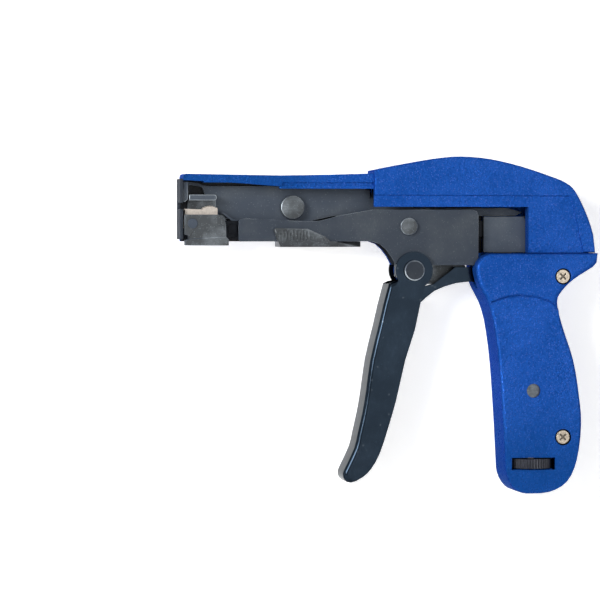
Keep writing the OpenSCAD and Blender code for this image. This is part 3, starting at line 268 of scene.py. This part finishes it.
def effect(name, inputs, outputs):
    """A shader node group with the named sockets; gives it, its inputs and its end node"""
    group = bpy.data.node_groups.new(name, "ShaderNodeTree")
    for label, kind, *default in inputs:
        made = group.interface.new_socket(name=label, in_out="INPUT", socket_type=kind)
        if default:
            made.default_value = default[0]
    for label, kind in outputs:
        group.interface.new_socket(name=label, in_out="OUTPUT", socket_type=kind)
    start, end = group.nodes.new("NodeGroupInput"), group.nodes.new("NodeGroupOutput")
    return group, start.outputs, end


def ripple_effect():
    """Shallow cells and pits of a hammered or cast skin, as a height and a tint mask"""
    group, given, end = effect(
        "cast_ripple",
        [("Vector", "NodeSocketVector"), ("Cell", "NodeSocketFloat", 700.0)],
        [("Height", "NodeSocketFloat"), ("Mask", "NodeSocketFloat")])
    where = given["Vector"]
    warp = noise(group, where, 420.0, 3.0).outputs["Color"]
    shift = add(group, "ShaderNodeVectorMath", [(0, warp), ("Scale", 0.0006)], operation="SCALE")
    bent = vectors(group, "ADD", where, shift.outputs[0]).outputs[0]
    cells = add(group, "ShaderNodeTexVoronoi", [("Vector", bent), ("Scale", given["Cell"])])
    fine = noise(group, where, 2600.0, 4.0).outputs["Fac"]
    broad = noise(group, where, 60.0, 6.0, Roughness=0.65).outputs["Fac"]
    mottle = noise(group, where, 1500.0, 2.0).outputs["Fac"]
    mask = ranged(group, maths(group, "ADD", broad, mottle), 0.8, 1.2)
    height = maths(group, "ADD", cells.outputs["Distance"], fine)
    wire(group, end, [("Height", height), ("Mask", mask)])
    return group


def fleck_effect():
    """Sparse bright specks: metal flake in paint, or grit in a blacked surface"""
    group, given, end = effect(
        "flecks",
        [("Vector", "NodeSocketVector"), ("Scale", "NodeSocketFloat", 2500.0),
         ("Share", "NodeSocketFloat", 0.1)],
        [("Mask", "NodeSocketFloat")])
    links = [("Vector", given["Vector"]), ("Scale", given["Scale"])]
    cells = add(group, "ShaderNodeTexVoronoi", links).outputs
    lot = add(group, "ShaderNodeSeparateColor", [(0, cells["Color"])]).outputs[0]
    limit = maths(group, "SUBTRACT", 1.0, given["Share"])
    chosen = maths(group, "GREATER_THAN", lot, limit)
    core = ranged(group, cells["Distance"], 0.0, 0.5, 1.0, 0.0)
    wire(group, end, [("Mask", maths(group, "MULTIPLY", chosen, core))])
    return group


def rub_effect():
    """Broad patches and fine streaks where handling has rubbed a surface"""
    group, given, end = effect(
        "rubbing",
        [("Vector", "NodeSocketVector"), ("Streak", "NodeSocketVector", (1.0, 1.0, 8.0)),
         ("Amount", "NodeSocketFloat", 0.3)],
        [("Mask", "NodeSocketFloat"), ("Height", "NodeSocketFloat")])
    patch = ranged(group, noise(group, given["Vector"], 90.0, 5.0).outputs["Fac"], 0.45, 0.72)
    drawn = vectors(group, "MULTIPLY", given["Vector"], given["Streak"]).outputs[0]
    streak = noise(group, drawn, 900.0, 3.0).outputs["Fac"]
    streaked = maths(group, "MULTIPLY", patch, ranged(group, streak, 0.5, 0.75))
    both = maths(group, "ADD", streaked, patch)
    mask = maths(group, "MULTIPLY", both, given["Amount"], clamp=True)
    wire(group, end, [("Mask", mask), ("Height", streak)])
    return group


EFFECTS = {}


def placed(tree, name, where, **links):
    """An effect placed in a material at the given coordinates; gives its outputs"""
    node = add(tree, "ShaderNodeGroup", node_tree=EFFECTS[name])
    wire(tree, node, [("Vector", where), *links.items()])
    return node.outputs


# ---- finishes ----

def finish_of(name, **constants):
    """A new material with its shader's constants: the material, tree, shader and coordinates"""
    made = bpy.data.materials.new(name)
    made.use_nodes = True
    tree = made.node_tree
    shader = tree.nodes["Principled BSDF"]
    wire(tree, shader, [(key.replace("_", " "), value) for key, value in constants.items()])
    where = tree.nodes.new("ShaderNodeTexCoord").outputs["Object"]
    return made, tree, shader, where


def toned(colour, *shares):
    """The colour with its channels multiplied, all by one share or each by its own"""
    if len(shares) == 1:
        shares *= 3
    return tuple(min(1.0, c * share) for c, share in zip(colour[:3], shares)) + (1.0,)


def feed(tree, shader, colour, **spreads):
    """Links the colour, and for each named input a mask spread between two values"""
    wire(tree, shader, [("Base Color", colour)])
    wire(tree, shader, [(key, spread(tree, *ends)) for key, ends in spreads.items()])


def raised(tree, shader, height, distance, strength):
    """Gives the shader a bump"""
    links = [("Height", height), ("Distance", distance), ("Strength", strength)]
    wire(tree, shader, [("Normal", add(tree, "ShaderNodeBump", links).outputs[0])])


def screw_spots():
    """Centres of the two cover screws, from the box that holds both"""
    low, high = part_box("cover_screws")
    upper = (low.x + SCREW_HEAD, high.z - SCREW_HEAD)
    lower = (high.x - SCREW_HEAD, low.z + SCREW_HEAD)
    return upper, lower


def hammered_blue(f):
    """Hammered paint with flakes, with painted shade darkening it at the nose and heel and
    blackening the recesses round the sunk screws
    """
    made, tree, shader, where = finish_of(
        "hammered_blue", Specular_IOR_Level=0.0, Coat_Weight=0.02, Coat_Roughness=0.3,
        Specular_Tint=(0.01, 0.2, 0.55, 1))
    ripple = placed(tree, "cast_ripple", where, Cell=1150.0)
    flake = placed(tree, "flecks", where, Scale=1900.0, Share=0.3)
    colour = mixed(tree, ripple["Mask"], tuple(f.casting_deep), tuple(f.casting_blue))
    tint = maths(tree, "MULTIPLY", flake["Mask"], 0.5)
    colour = mixed(tree, tint, colour, toned(f.casting_blue, 8, 2.2, 1.6))
    x, y, z = axes(tree, where)
    # Painted shade: darker blue towards the nose on the left side, and towards the heel
    left = maths(tree, "LESS_THAN", y, CAVITY_Y[0])
    nose = maths(tree, "MULTIPLY", ranged(tree, x, *NOSE_PAINTED_SHADE_X, 0.6, 0.0), left)
    heel = ranged(tree, z, *HEEL_PAINTED_SHADE_Z, 0.55, 0.0)
    for zone in (nose, heel):
        colour = mixed(tree, zone, colour, toned(f.casting_deep, 0.4, 0.75, 0.62))
    # Painted shade: the recesses round the sunk screws are darkened to near black
    upper, lower = (near(tree, where, centre, SCREW_RECESS) for centre in screw_spots())
    recess = maths(tree, "MAXIMUM", upper, lower)
    painted_shade_zones = maths(tree, "MULTIPLY", recess, between(tree, y, *RECESS_Y))
    feed(tree, shader, mixed(tree, painted_shade_zones, colour, tuple(f.painted_shade_colour)),
         Metallic=(flake["Mask"], 0.42, 0.75), Roughness=(ripple["Mask"], 0.36, 0.26))
    raised(tree, shader, ripple["Height"], 0.00016, 1.0)
    return made


def oiled_casting(f):
    """Painted shade for the inside of the casting: near black, mottled"""
    made, tree, shader, where = finish_of("oiled_casting", Specular_IOR_Level=0.2)
    ripple = placed(tree, "cast_ripple", where, Cell=900.0)
    feed(tree, shader, mixed(tree, ripple["Mask"], tuple(f.painted_shade_colour), toned(f.painted_shade_colour, 2.0)),
         Roughness=(ripple["Mask"], 0.5, 0.36))
    raised(tree, shader, ripple["Height"], 0.0001, 0.6)
    return made


def oxide_finish(f, name, painted_shade_zones=(), shade=1.0):
    """Blackened sheet steel, with the listed stretches along X given painted shade in near black"""
    made, tree, shader, where = finish_of(
        name, Specular_IOR_Level=0.0, Coat_Weight=0.12, Coat_Roughness=0.35,
        Specular_Tint=(0.3, 0.32, 0.35, 1))
    dark, light = toned(f.oxide, shade), toned(f.worn, shade)
    rub = placed(tree, "rubbing", where, Streak=(3.0, 1.0, 1.0), Amount=0.3)
    grit = placed(tree, "flecks", where, Scale=2300.0, Share=0.08)
    colour = mixed(tree, rub["Mask"], dark, light)
    speck = maths(tree, "MULTIPLY", grit["Mask"], 0.7)
    colour = mixed(tree, speck, colour, toned(light, 1.5))
    x = axes(tree, where)[0]
    # Painted shade: the listed stretches along X turn near black
    for low, high in painted_shade_zones:
        colour = mixed(tree, between(tree, x, low, high), colour, tuple(f.painted_shade_colour))
    feed(tree, shader, colour,
         Metallic=(rub["Mask"], 0.3, 0.6), Roughness=(rub["Height"], 0.5, 0.36))
    raised(tree, shader, rub["Height"], 0.00003, 0.6)
    return made


def worn_edge(f):
    """Blackened steel rubbed bright along its edges"""
    made, tree, shader, where = finish_of("worn_edge", Specular_IOR_Level=0.3)
    rub = placed(tree, "rubbing", where, Streak=(1.0, 1.0, 1.0), Amount=1.6)
    feed(tree, shader, mixed(tree, rub["Mask"], tuple(f.oxide), toned(f.worn, 3.2)),
         Metallic=(rub["Mask"], 0.35, 0.85), Roughness=(rub["Height"], 0.45, 0.30))
    return made


def grey_steel(f):
    """Bare grey steel with grit"""
    made, tree, shader, where = finish_of("grey_steel", Specular_IOR_Level=0.3)
    rub = placed(tree, "rubbing", where, Streak=(1.0, 1.0, 3.0), Amount=0.8)
    grit = placed(tree, "flecks", where, Scale=2100.0, Share=0.25)
    dark, light = toned(f.worn, 0.42), toned(f.worn, 1.9)
    speck = maths(tree, "MULTIPLY", grit["Mask"], 0.6)
    feed(tree, shader, mixed(tree, speck, mixed(tree, rub["Mask"], dark, light), light),
         Metallic=(rub["Mask"], 0.45, 0.85), Roughness=(rub["Height"], 0.48, 0.34))
    raised(tree, shader, rub["Height"], 0.00003, 0.5)
    return made


def plated_steel(f):
    """Bright plating, dulled in patches"""
    made, tree, shader, where = finish_of("plated_steel")
    rub = placed(tree, "rubbing", where, Streak=(1.0, 1.0, 1.0), Amount=0.9)
    feed(tree, shader, mixed(tree, rub["Mask"], tuple(f.plated), toned(f.plated, 0.5)),
         Metallic=(rub["Mask"], 0.95, 0.6), Roughness=(rub["Height"], 0.34, 0.22))
    raised(tree, shader, rub["Height"], 0.00002, 0.4)
    return made


def sintered_steel(f):
    """Pale sintered steel with a fine grain"""
    made, tree, shader, where = finish_of("sintered_steel")
    ripple = placed(tree, "cast_ripple", where, Cell=2200.0)
    feed(tree, shader, mixed(tree, ripple["Mask"], toned(f.pale, 0.78), tuple(f.pale)),
         Metallic=(ripple["Mask"], 0.35, 0.55), Roughness=(ripple["Mask"], 0.55, 0.42))
    raised(tree, shader, ripple["Height"], 0.00002, 0.6)
    return made


def black_enamel(f):
    """Glossy black enamel with a faint peel and a few specks of dust"""
    made, tree, shader, where = finish_of(
        "black_enamel", Specular_IOR_Level=0.0, Metallic=1.0, Specular_Tint=(0.5, 0.51, 0.52, 1))
    rub = placed(tree, "rubbing", where, Streak=(1.0, 1.0, 0.4), Amount=0.4)
    grit = placed(tree, "flecks", where, Scale=900.0, Share=0.04)
    dust = (0.12, 0.14, 0.16, 1)
    colour = mixed(tree, rub["Mask"], tuple(f.enamel), toned(f.enamel, 1.7))
    speck = maths(tree, "MULTIPLY", grit["Mask"], 0.3)
    feed(tree, shader, mixed(tree, speck, colour, dust), Roughness=(rub["Height"], 0.22, 0.12))
    raised(tree, shader, noise(tree, where, 200.0, 2.0).outputs["Fac"], 0.0001, 0.5)
    return made


def cross_screw(f):
    """Plated screw with painted shade in its cross recess: below the head's face it is dark"""
    made, tree, shader, where = finish_of("cross_screw")
    rub = placed(tree, "rubbing", where, Streak=(1.0, 1.0, 1.0), Amount=0.9)
    pits = placed(tree, "cast_ripple", where, Cell=2400.0)
    colour = mixed(tree, pits["Mask"], toned(f.plated, 0.5), toned(f.plated, 1.25))
    _, y, z = axes(tree, where)
    # Painted shade: below the head's face the cross recess is darkened
    recess_shade_mask = maths(tree, "GREATER_THAN", y, ranged(tree, z, *SCREW_SPLIT_Z, *SCREW_FACE_Y))
    feed(tree, shader, mixed(tree, recess_shade_mask, colour, toned(f.plated, 0.3)),
         Metallic=(rub["Mask"], 1.0, 0.8), Roughness=(rub["Height"], 0.3, 0.18))
    raised(tree, shader, pits["Height"], 0.00008, 0.8)
    return made


def knob_plastic(f):
    """Moulded black plastic"""
    made, tree, shader, where = finish_of("knob_plastic", Specular_IOR_Level=0.3)
    ripple = placed(tree, "cast_ripple", where, Cell=1800.0)
    feed(tree, shader, mixed(tree, ripple["Mask"], tuple(f.plastic), toned(f.plastic, 2.2)),
         Roughness=(ripple["Mask"], 0.5, 0.38))
    raised(tree, shader, ripple["Height"], 0.00003, 0.6)
    return made


FINISHES = {}
MAKERS = {made.__name__: made for made in (
    hammered_blue, oiled_casting, worn_edge, grey_steel, plated_steel, sintered_steel,
    black_enamel, cross_screw, knob_plastic)}
OXIDES = {
    "black_oxide": {},
    "blued_plate": {"shade": 0.72},
    "blued_pin": {"shade": 0.48},
    # The pull bar and its rivets get painted shade over these stretches
    "oiled_bar": {"painted_shade_zones": BAR_PAINTED_SHADE_X},
}
FINISH_OF_SLOT = {"worn_steel": "grey_steel", "bright_steel": "plated_steel"}


def finish(name):
    """The finish of that name, made when it is first asked for"""
    if not EFFECTS:
        EFFECTS.update(cast_ripple=ripple_effect(), flecks=fleck_effect(), rubbing=rub_effect())
    if name not in FINISHES:
        colours = bpy.context.scene.tie_tool_finish
        if name in OXIDES:
            FINISHES[name] = oxide_finish(colours, name, **OXIDES[name])
        else:
            FINISHES[name] = MAKERS[name](colours)
    return FINISHES[name]


# ---- shaping ----

def only(thing):
    """Selects one object and nothing else, in object mode"""
    if bpy.context.object and bpy.context.object.mode != "OBJECT":
        bpy.ops.object.mode_set(mode="OBJECT")
    bpy.ops.object.select_all(action="DESELECT")
    thing.select_set(True)
    bpy.context.view_layer.objects.active = thing


def copy_of(node, name, whole=True):
    """A copy of the node's mesh with its doubles merged and, if asked, its flats made whole"""
    made = bpy.data.objects.new(name, frame["nodes"][node].data.copy())
    bpy.context.scene.collection.objects.link(made)
    made.data.materials.clear()
    only(made)
    bpy.ops.object.mode_set(mode="EDIT")
    bpy.ops.mesh.select_all(action="SELECT")
    bpy.ops.mesh.remove_doubles(threshold=0.000002)
    if whole:
        bpy.ops.mesh.dissolve_limited(angle_limit=radians(0.6))
    bpy.ops.object.mode_set(mode="OBJECT")
    return made


def pick_edges(made, test):
    """Marks for the bevel the edges for which test(middle, angle between the faces, edge) holds"""
    mesh = bmesh.new()
    mesh.from_mesh(made.data)
    kind = mesh.edges.layers.float
    layer = kind.get("bevel_weight_edge") or kind.new("bevel_weight_edge")
    for edge in mesh.edges:
        if len(edge.link_faces) == 2:
            middle = (edge.verts[0].co + edge.verts[1].co) / 2
            edge[layer] = 1.0 if test(middle, edge.calc_face_angle(0), edge) else 0.0
    mesh.to_mesh(made.data)
    mesh.free()


def paint_shade_inside(made):
    """Gives the second material, the painted shade, to the casting's faces inside the barrel and
    the hump.

    A face that doesn't look down or sideways counts only if another face lies before it.
    """
    for face in made.data.polygons:
        centre, way = face.center, face.normal
        roomy = centre.x < HANDLE_X or CAVITY_Z[0] < centre.z < CAVITY_Z[1]
        inside = CAVITY_Y[0] < centre.y < CAVITY_Y[1] and roomy
        if inside and way.z > -0.3 and abs(way.y) < 0.7:
            inside = made.ray_cast(centre + way * 0.0001, way)[0]
        face.material_index = 1 if inside else 0


def steepen(made, depth, rise):
    """Lifts the foot of the curved step, which lies at the given depth, to steepen its slope"""
    mesh = bmesh.new()
    mesh.from_mesh(made.data)
    foot = {corner for edge in mesh.edges if len(edge.link_faces) == 2
            and all(abs(end.co.y - depth) < ON_PLANE for end in edge.verts)
            and -radians(45) < edge.calc_face_angle_signed(0) < -radians(20)
            for corner in edge.verts}
    for corner in foot:
        corner.co.z += rise
    mesh.to_mesh(made.data)
    mesh.free()


def soften(made, width, segments=2, angle=35, worn=False):
    """Rounds the edges sharper than the angle; worn gives the roundings the second material"""
    bevelled(made, width, segments, limit_method="ANGLE", angle_limit=radians(angle),
             material=1 if worn else -1)


def soften_picked(made, width, segments=2):
    """Rounds the edges that pick_edges marked"""
    bevelled(made, width, segments, limit_method="WEIGHT", use_clamp_overlap=False)


def bevelled(made, width, segments, **settings):
    only(made)
    bevel = made.modifiers.new("edges", "BEVEL")
    bevel.width = width
    bevel.segments = segments
    bevel.miter_outer = "MITER_ARC"
    for key, value in settings.items():
        setattr(bevel, key, value)
    bpy.ops.object.modifier_apply(modifier="edges")


def smooth(made, angle=40, flats=True):
    """Shades the roundings smoothly and, if asked, keeps the flats beside them flat"""
    only(made)
    bpy.ops.object.shade_smooth_by_angle(angle=radians(angle))
    if flats:
        weighted = made.modifiers.new("flats", "WEIGHTED_NORMAL")
        weighted.weight = 100
        weighted.keep_sharp = True
        bpy.ops.object.modifier_apply(modifier="flats")


def settle(made, node, first, second=None):
    """Gives the piece its finishes and its body, and hides the CAD node that it stands for"""
    made.data.materials.append(finish(first))
    if second:
        made.data.materials.append(finish(second))
    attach(made, BODY_OF[node])
    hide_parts(node)


def dressed(node, name, width, first, second=None, segments=2, angle=35):
    """A piece that takes the node's place, with rounded edges and one or two finishes"""
    made = copy_of(node, name)
    settle(made, node, first, second)
    soften(made, width, segments, angle, worn=bool(second))
    smooth(made)


def painted(node):
    """Leaves the CAD node as it is and gives it its slot's finish"""
    data = frame["nodes"][node].data
    data.materials.clear()
    data.materials.append(finish(FINISH_OF_SLOT[SLOT_OF[node]]))


# ---- pieces ----

class TIETOOL_OT_casting(bpy.types.Operator):
    """Cast frame and handle cover with softened edges and hammered blue paint"""

    bl_idname = "tietool.casting"
    bl_label = "Casting and cover"

    def execute(self, context):
        shape = context.scene.tie_tool_shape
        self.dress_frame(shape)
        self.dress_cover(shape)
        return {"FINISHED"}

    def dress_frame(self, shape):
        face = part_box("main_frame")[0].y
        made = copy_of("main_frame", "cast_frame")
        # Its second finish is painted shade for the faces inside the barrel and the hump
        settle(made, "main_frame", "hammered_blue", "oiled_casting")
        paint_shade_inside(made)

        def on_panel_step(middle, angle, edge):
            return (angle > radians(60) and middle.y < face + PANEL_DIP and middle.x > PANEL_X
                    and PANEL_Z[0] < middle.z < PANEL_Z[1]
                    and abs(middle.z - HUMP_LOW_Z) > HUMP_LOW_REACH)

        pick_edges(made, on_panel_step)
        soften_picked(made, shape.seam_edge)
        soften(made, shape.casting_edge, angle=50)
        smooth(made, 35)

    def dress_cover(self, shape):
        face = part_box("handle_cover")[0].y
        made = copy_of("handle_cover", "cast_cover")
        settle(made, "handle_cover", "hammered_blue")
        steepen(made, face + STEP_DEPTH, STEP_RISE)

        def on_step(middle, angle, edge):
            top = abs(middle.y - face) < ON_PLANE
            foot = abs(middle.y - face - STEP_DEPTH) < ON_PLANE
            slope = radians(20) < angle < radians(60)
            band = radians(8) < angle < radians(12) and edge.calc_length() > BAND_LENGTH
            return ((top or foot) and slope) or (top and band)

        def on_outline(middle, angle, edge):
            foot = abs(middle.y - face - STEP_DEPTH) < 0.0001
            return (radians(60) < angle < radians(80) and foot
                    and ROLLED_Z[0] < middle.z < ROLLED_Z[1])

        pick_edges(made, on_step)
        soften_picked(made, shape.step_edge)
        pick_edges(made, on_outline)
        soften_picked(made, shape.cover_roll, segments=4)
        soften(made, shape.casting_edge, angle=50)
        smooth(made, 35)


class TIETOOL_OT_plates(bpy.types.Operator):
    """Stamped side plate, pivot plate and nose plate"""

    bl_idname = "tietool.plates"
    bl_label = "Stamped plates"

    def execute(self, context):
        edge = context.scene.tie_tool_shape.sheet_edge
        dressed("side_plate", "stamped_side_plate", edge, "blued_plate", "worn_edge")
        made = copy_of("pivot_plate", "stamped_pivot_plate")
        settle(made, "pivot_plate", "grey_steel", "worn_edge")
        low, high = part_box("pivot_plate")
        for corner in made.data.vertices:
            if corner.co.x > high.x - 0.0001 and corner.co.z < (low.z + high.z) / 2:
                corner.co.x += PIVOT_REACH
        soften(made, edge, worn=True)
        smooth(made)
        dressed("nose_plate", "stamped_nose_plate", edge, "blued_pin")
        return {"FINISHED"}


class TIETOOL_OT_guide_clip(bpy.types.Operator):
    """Pressed guide clip under the barrel, with its ridges"""

    bl_idname = "tietool.guide_clip"
    bl_label = "Guide clip"

    def execute(self, context):
        made = copy_of("guide_clip", "pressed_guide_clip", whole=False)
        settle(made, "guide_clip", "grey_steel")
        smooth(made, 30, flats=False)
        return {"FINISHED"}


class TIETOOL_OT_rivets(bpy.types.Operator):
    """Heads of the rivets and the trigger pin, and the turned pins inside"""

    bl_idname = "tietool.rivets"
    bl_label = "Rivets and pins"

    def execute(self, context):
        edge = context.scene.tie_tool_shape.rivet_edge
        dressed("plate_rivet", "plate_rivet_head", edge, "grey_steel", "worn_edge")
        dressed("lever_rivet", "lever_rivet_head", edge, "grey_steel", "worn_edge")
        dressed("trigger_pin", "trigger_pin_head", edge * 1.5, "blued_pin", "worn_edge")
        dressed("bar_rivets", "bar_rivet_heads", edge / 2, "oiled_bar")
        for node in ("fulcrum_pin", "trip_pin", "link_pin", "rocker_pins", "yoke_pin",
                     "retaining_clip"):
            dressed(node, node.replace("_", "_turned_", 1), edge / 2, "plated_steel")
        return {"FINISHED"}


class TIETOOL_OT_screws(bpy.types.Operator):
    """Plated cross-recess screws in the cover"""

    bl_idname = "tietool.screws"
    bl_label = "Cover screws"

    def execute(self, context):
        edge = context.scene.tie_tool_shape.fitting_edge
        dressed("cover_screws", "plated_cover_screws", edge, "cross_screw", segments=3)
        return {"FINISHED"}


class TIETOOL_OT_trigger(bpy.types.Operator):
    """Folded trigger in glossy enamel, its front folds rolled over"""

    bl_idname = "tietool.trigger"
    bl_label = "Trigger"

    def execute(self, context):
        shape = context.scene.tie_tool_shape
        low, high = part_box("trigger")
        made = copy_of("trigger", "folded_trigger")
        settle(made, "trigger", "black_enamel")
        pin_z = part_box("trigger_pin")[0].z

        def on_front_fold(middle, angle, edge):
            outer = middle.y < low.y + 1e-5 or middle.y > high.y - 1e-5
            front = any(abs(f.normal.y) < 0.3 and f.normal.x < 0.2 for f in edge.link_faces)
            return outer and angle > radians(35) and front and middle.z < pin_z

        pick_edges(made, on_front_fold)
        soften_picked(made, shape.trigger_roll, segments=6)
        soften(made, shape.sheet_edge, angle=40)
        smooth(made, 35)
        return {"FINISHED"}


class TIETOOL_OT_linkage(bpy.types.Operator):
    """Drive link, rocker and pull bar"""

    bl_idname = "tietool.linkage"
    bl_label = "Linkage"

    def execute(self, context):
        edge = context.scene.tie_tool_shape.sheet_edge
        dressed("drive_link", "forged_drive_link", edge * 2, "black_enamel", segments=3)
        dressed("pull_bar", "milled_pull_bar", edge, "oiled_bar")
        dressed("rocker_cheeks", "stamped_rocker_cheeks", edge, "grey_steel")
        painted("rocker_hub")
        return {"FINISHED"}


class TIETOOL_OT_gripper(bpy.types.Operator):
    """Pawl bracket, anvil, toothed pawl, its pin and its leaf spring"""

    bl_idname = "tietool.gripper"
    bl_label = "Gripper"

    def execute(self, context):
        shape = context.scene.tie_tool_shape
        sheet, fitting = shape.sheet_edge, shape.fitting_edge
        dressed("pawl_bracket", "folded_pawl_bracket", sheet, "grey_steel", "worn_edge")
        dressed("grip_anvil", "grip_anvil_block", sheet * 1.6, "black_oxide", "worn_edge")
        dressed("gripper_pawl", "toothed_pawl", fitting / 2, "sintered_steel")
        dressed("pawl_pin", "pawl_pin_head", fitting * 2, "black_oxide", "worn_edge")
        dressed("pawl_spring", "pawl_leaf_spring", fitting / 2, "black_oxide")
        return {"FINISHED"}


class TIETOOL_OT_cutter(bpy.types.Operator):
    """Cutter lever, blade and the trip lever that sets it off"""

    bl_idname = "tietool.cutter"
    bl_label = "Cutter"

    def execute(self, context):
        edge = context.scene.tie_tool_shape.sheet_edge
        dressed("cutter_lever", "stamped_cutter_lever", edge, "black_oxide", "worn_edge")
        dressed("cutter_blade", "ground_cutter_blade", edge, "black_oxide", "worn_edge")
        dressed("trip_lever", "stamped_trip_lever", edge, "grey_steel")
        return {"FINISHED"}


class TIETOOL_OT_tension_gear(bpy.types.Operator):
    """Yoke, rod, nut, indicator, seat and springs"""

    bl_idname = "tietool.tension_gear"
    bl_label = "Tension gear"

    def execute(self, context):
        edge = context.scene.tie_tool_shape.fitting_edge
        dressed("tension_yoke", "folded_tension_yoke", edge, "grey_steel")
        dressed("tension_rod", "turned_tension_rod", edge, "plated_steel")
        dressed("tension_nut", "square_tension_nut", edge, "plated_steel")
        dressed("indicator_plate", "round_window_indicator", edge, "grey_steel")
        dressed("spring_seat", "stamped_spring_seat", edge, "plated_steel")
        painted("tension_spring")
        painted("trigger_spring")
        return {"FINISHED"}


class TIETOOL_OT_knob(bpy.types.Operator):
    """Ridged adjusting knob"""

    bl_idname = "tietool.knob"
    bl_label = "Adjusting knob"

    def execute(self, context):
        edge = context.scene.tie_tool_shape.fitting_edge
        dressed("adjusting_knob", "ridged_knob", edge, "knob_plastic", angle=12)
        return {"FINISHED"}


# ---- studio ----

def seen_directly(tree):
    """1 for rays from the camera, from a shine or through glass, else 0"""
    path = tree.nodes.new("ShaderNodeLightPath").outputs
    seen = maths(tree, "MAXIMUM", path["Is Camera Ray"], path["Is Glossy Ray"])
    return maths(tree, "MAXIMUM", seen, path["Is Transmission Ray"])


def stage_white(name):
    """White paper that shows shadows, glows only when seen and is clear from behind"""
    made = bpy.data.materials.new(name)
    made.use_nodes = True
    tree = made.node_tree
    tree.nodes.remove(tree.nodes["Principled BSDF"])
    where = tree.nodes.new("ShaderNodeTexCoord").outputs["Object"]
    grain = noise(tree, where, 30.0, 2.0).outputs["Fac"]
    tone = spread(tree, grain, WHITE, WHITE * 1.01)
    paper = add(tree, "ShaderNodeBsdfDiffuse", [("Color", tone)])
    power = maths(tree, "MULTIPLY", seen_directly(tree), GLOW)
    light = add(tree, "ShaderNodeEmission", [("Strength", power)])
    front = add(tree, "ShaderNodeAddShader", [(0, paper.outputs[0]), (1, light.outputs[0])])
    clear = tree.nodes.new("ShaderNodeBsdfTransparent")
    side = tree.nodes.new("ShaderNodeNewGeometry").outputs["Backfacing"]
    whole = add(tree, "ShaderNodeMixShader",
                [(0, side), (1, front.outputs[0]), (2, clear.outputs[0])])
    wire(tree, tree.nodes["Material Output"], [("Surface", whole.outputs[0])])
    return made


def sheet_plane(name, size, centre, normal, material):
    """A square of the stage, facing along its normal"""
    bpy.ops.mesh.primitive_plane_add(size=size)
    made = bpy.context.object
    made.name = name
    turn = Vector((0, 0, 1)).rotation_difference(Vector(normal)).to_matrix().to_4x4()
    made.data.transform(Matrix.Translation(centre) @ turn)
    made.data.materials.append(material)


def lamp(name, size, power, place):
    """A square lamp turned towards the tool"""
    data = bpy.data.lights.new(name, "AREA")
    data.size = size
    data.energy = power
    made = bpy.data.objects.new(name, data)
    bpy.context.scene.collection.objects.link(made)
    made.location = place
    way = Vector(LAMP_TARGET) - Vector(place)
    made.rotation_euler = way.to_track_quat("-Z", "Y").to_euler()


class TIETOOL_OT_studio(bpy.types.Operator):
    """Pale floor, white sheet behind the tool, soft light and the camera"""

    bl_idname = "tietool.studio"
    bl_label = "Studio"

    def execute(self, context):
        scene = context.scene
        low, high = Vector(CAD_BOX[0]), Vector(CAD_BOX[1])
        sheet_plane("studio_floor", FLOOR_SIZE, (MIDDLE_X, 0, low.z - FLOOR_DROP), (0, 0, 1),
                    stage_white("floor_white"))
        sheet_plane("studio_sheet", SHEET_SIZE, (MIDDLE_X, high.y + SHEET_GAP, low.z + SHEET_LIFT),
                    (0, -1, 0), stage_white("sheet_white"))
        self.place_camera(scene)
        for row in LAMPS:
            lamp(*row)
        self.light_air(scene)
        scene.view_settings.view_transform = "Standard"
        return {"FINISHED"}

    def place_camera(self, scene):
        forward = Vector((sin(CAMERA_YAW) * cos(CAMERA_PITCH), cos(CAMERA_YAW) * cos(CAMERA_PITCH),
                          -sin(CAMERA_PITCH)))
        data = bpy.data.cameras.new("tool_camera")
        data.lens = CAMERA_LENS
        data.sensor_width = CAMERA_SENSOR
        data.clip_start = CAMERA_CLIP
        camera = bpy.data.objects.new("tool_camera", data)
        scene.collection.objects.link(camera)
        camera.location = Vector(CAMERA_TARGET) - forward * CAMERA_DISTANCE
        camera.rotation_euler = forward.to_track_quat("-Z", "Y").to_euler()
        scene.camera = camera

    def light_air(self, scene):
        """White surroundings that are bright to the eye and dim as a light"""
        world = bpy.data.worlds.new("studio_air")
        scene.world = world
        world.use_nodes = True
        tree = world.node_tree
        level = spread(tree, seen_directly(tree), DIM_AIR, SEEN_AIR)
        wire(tree, tree.nodes["Background"], [("Strength", level), ("Color", (1, 1, 1, 1))])


OPERATORS = (
    TIETOOL_OT_casting, TIETOOL_OT_plates, TIETOOL_OT_guide_clip, TIETOOL_OT_rivets,
    TIETOOL_OT_screws, TIETOOL_OT_trigger, TIETOOL_OT_linkage, TIETOOL_OT_gripper,
    TIETOOL_OT_cutter, TIETOOL_OT_tension_gear, TIETOOL_OT_knob, TIETOOL_OT_studio,
)


class TIETOOL_PT_panel(bpy.types.Panel):
    """Lists the tool's pieces, sizes and colours"""

    bl_label = "Tie tensioning tool"
    bl_idname = "TIETOOL_PT_panel"
    bl_space_type = "VIEW_3D"
    bl_region_type = "UI"
    bl_category = "Tie Tool"

    def draw(self, context):
        column = self.layout.column()
        for group in (context.scene.tie_tool_shape, context.scene.tie_tool_finish):
            for key in group.__annotations__:
                column.prop(group, key)
            column.separator()
        for made in OPERATORS:
            column.operator(made.bl_idname)


CLASSES = (TieToolFinish, TieToolShape) + OPERATORS + (TIETOOL_PT_panel,)


def register():
    for made in CLASSES:
        bpy.utils.register_class(made)
    bpy.types.Scene.tie_tool_finish = PointerProperty(type=TieToolFinish)
    bpy.types.Scene.tie_tool_shape = PointerProperty(type=TieToolShape)


def unregister():
    del bpy.types.Scene.tie_tool_shape
    del bpy.types.Scene.tie_tool_finish
    for made in reversed(CLASSES):
        bpy.utils.unregister_class(made)


def main():
    register()
    for made in OPERATORS:
        group, name = made.bl_idname.split(".")
        getattr(getattr(bpy.ops, group), name)()
    bpy.context.view_layer.update()


if __name__ == "__main__":
    main()
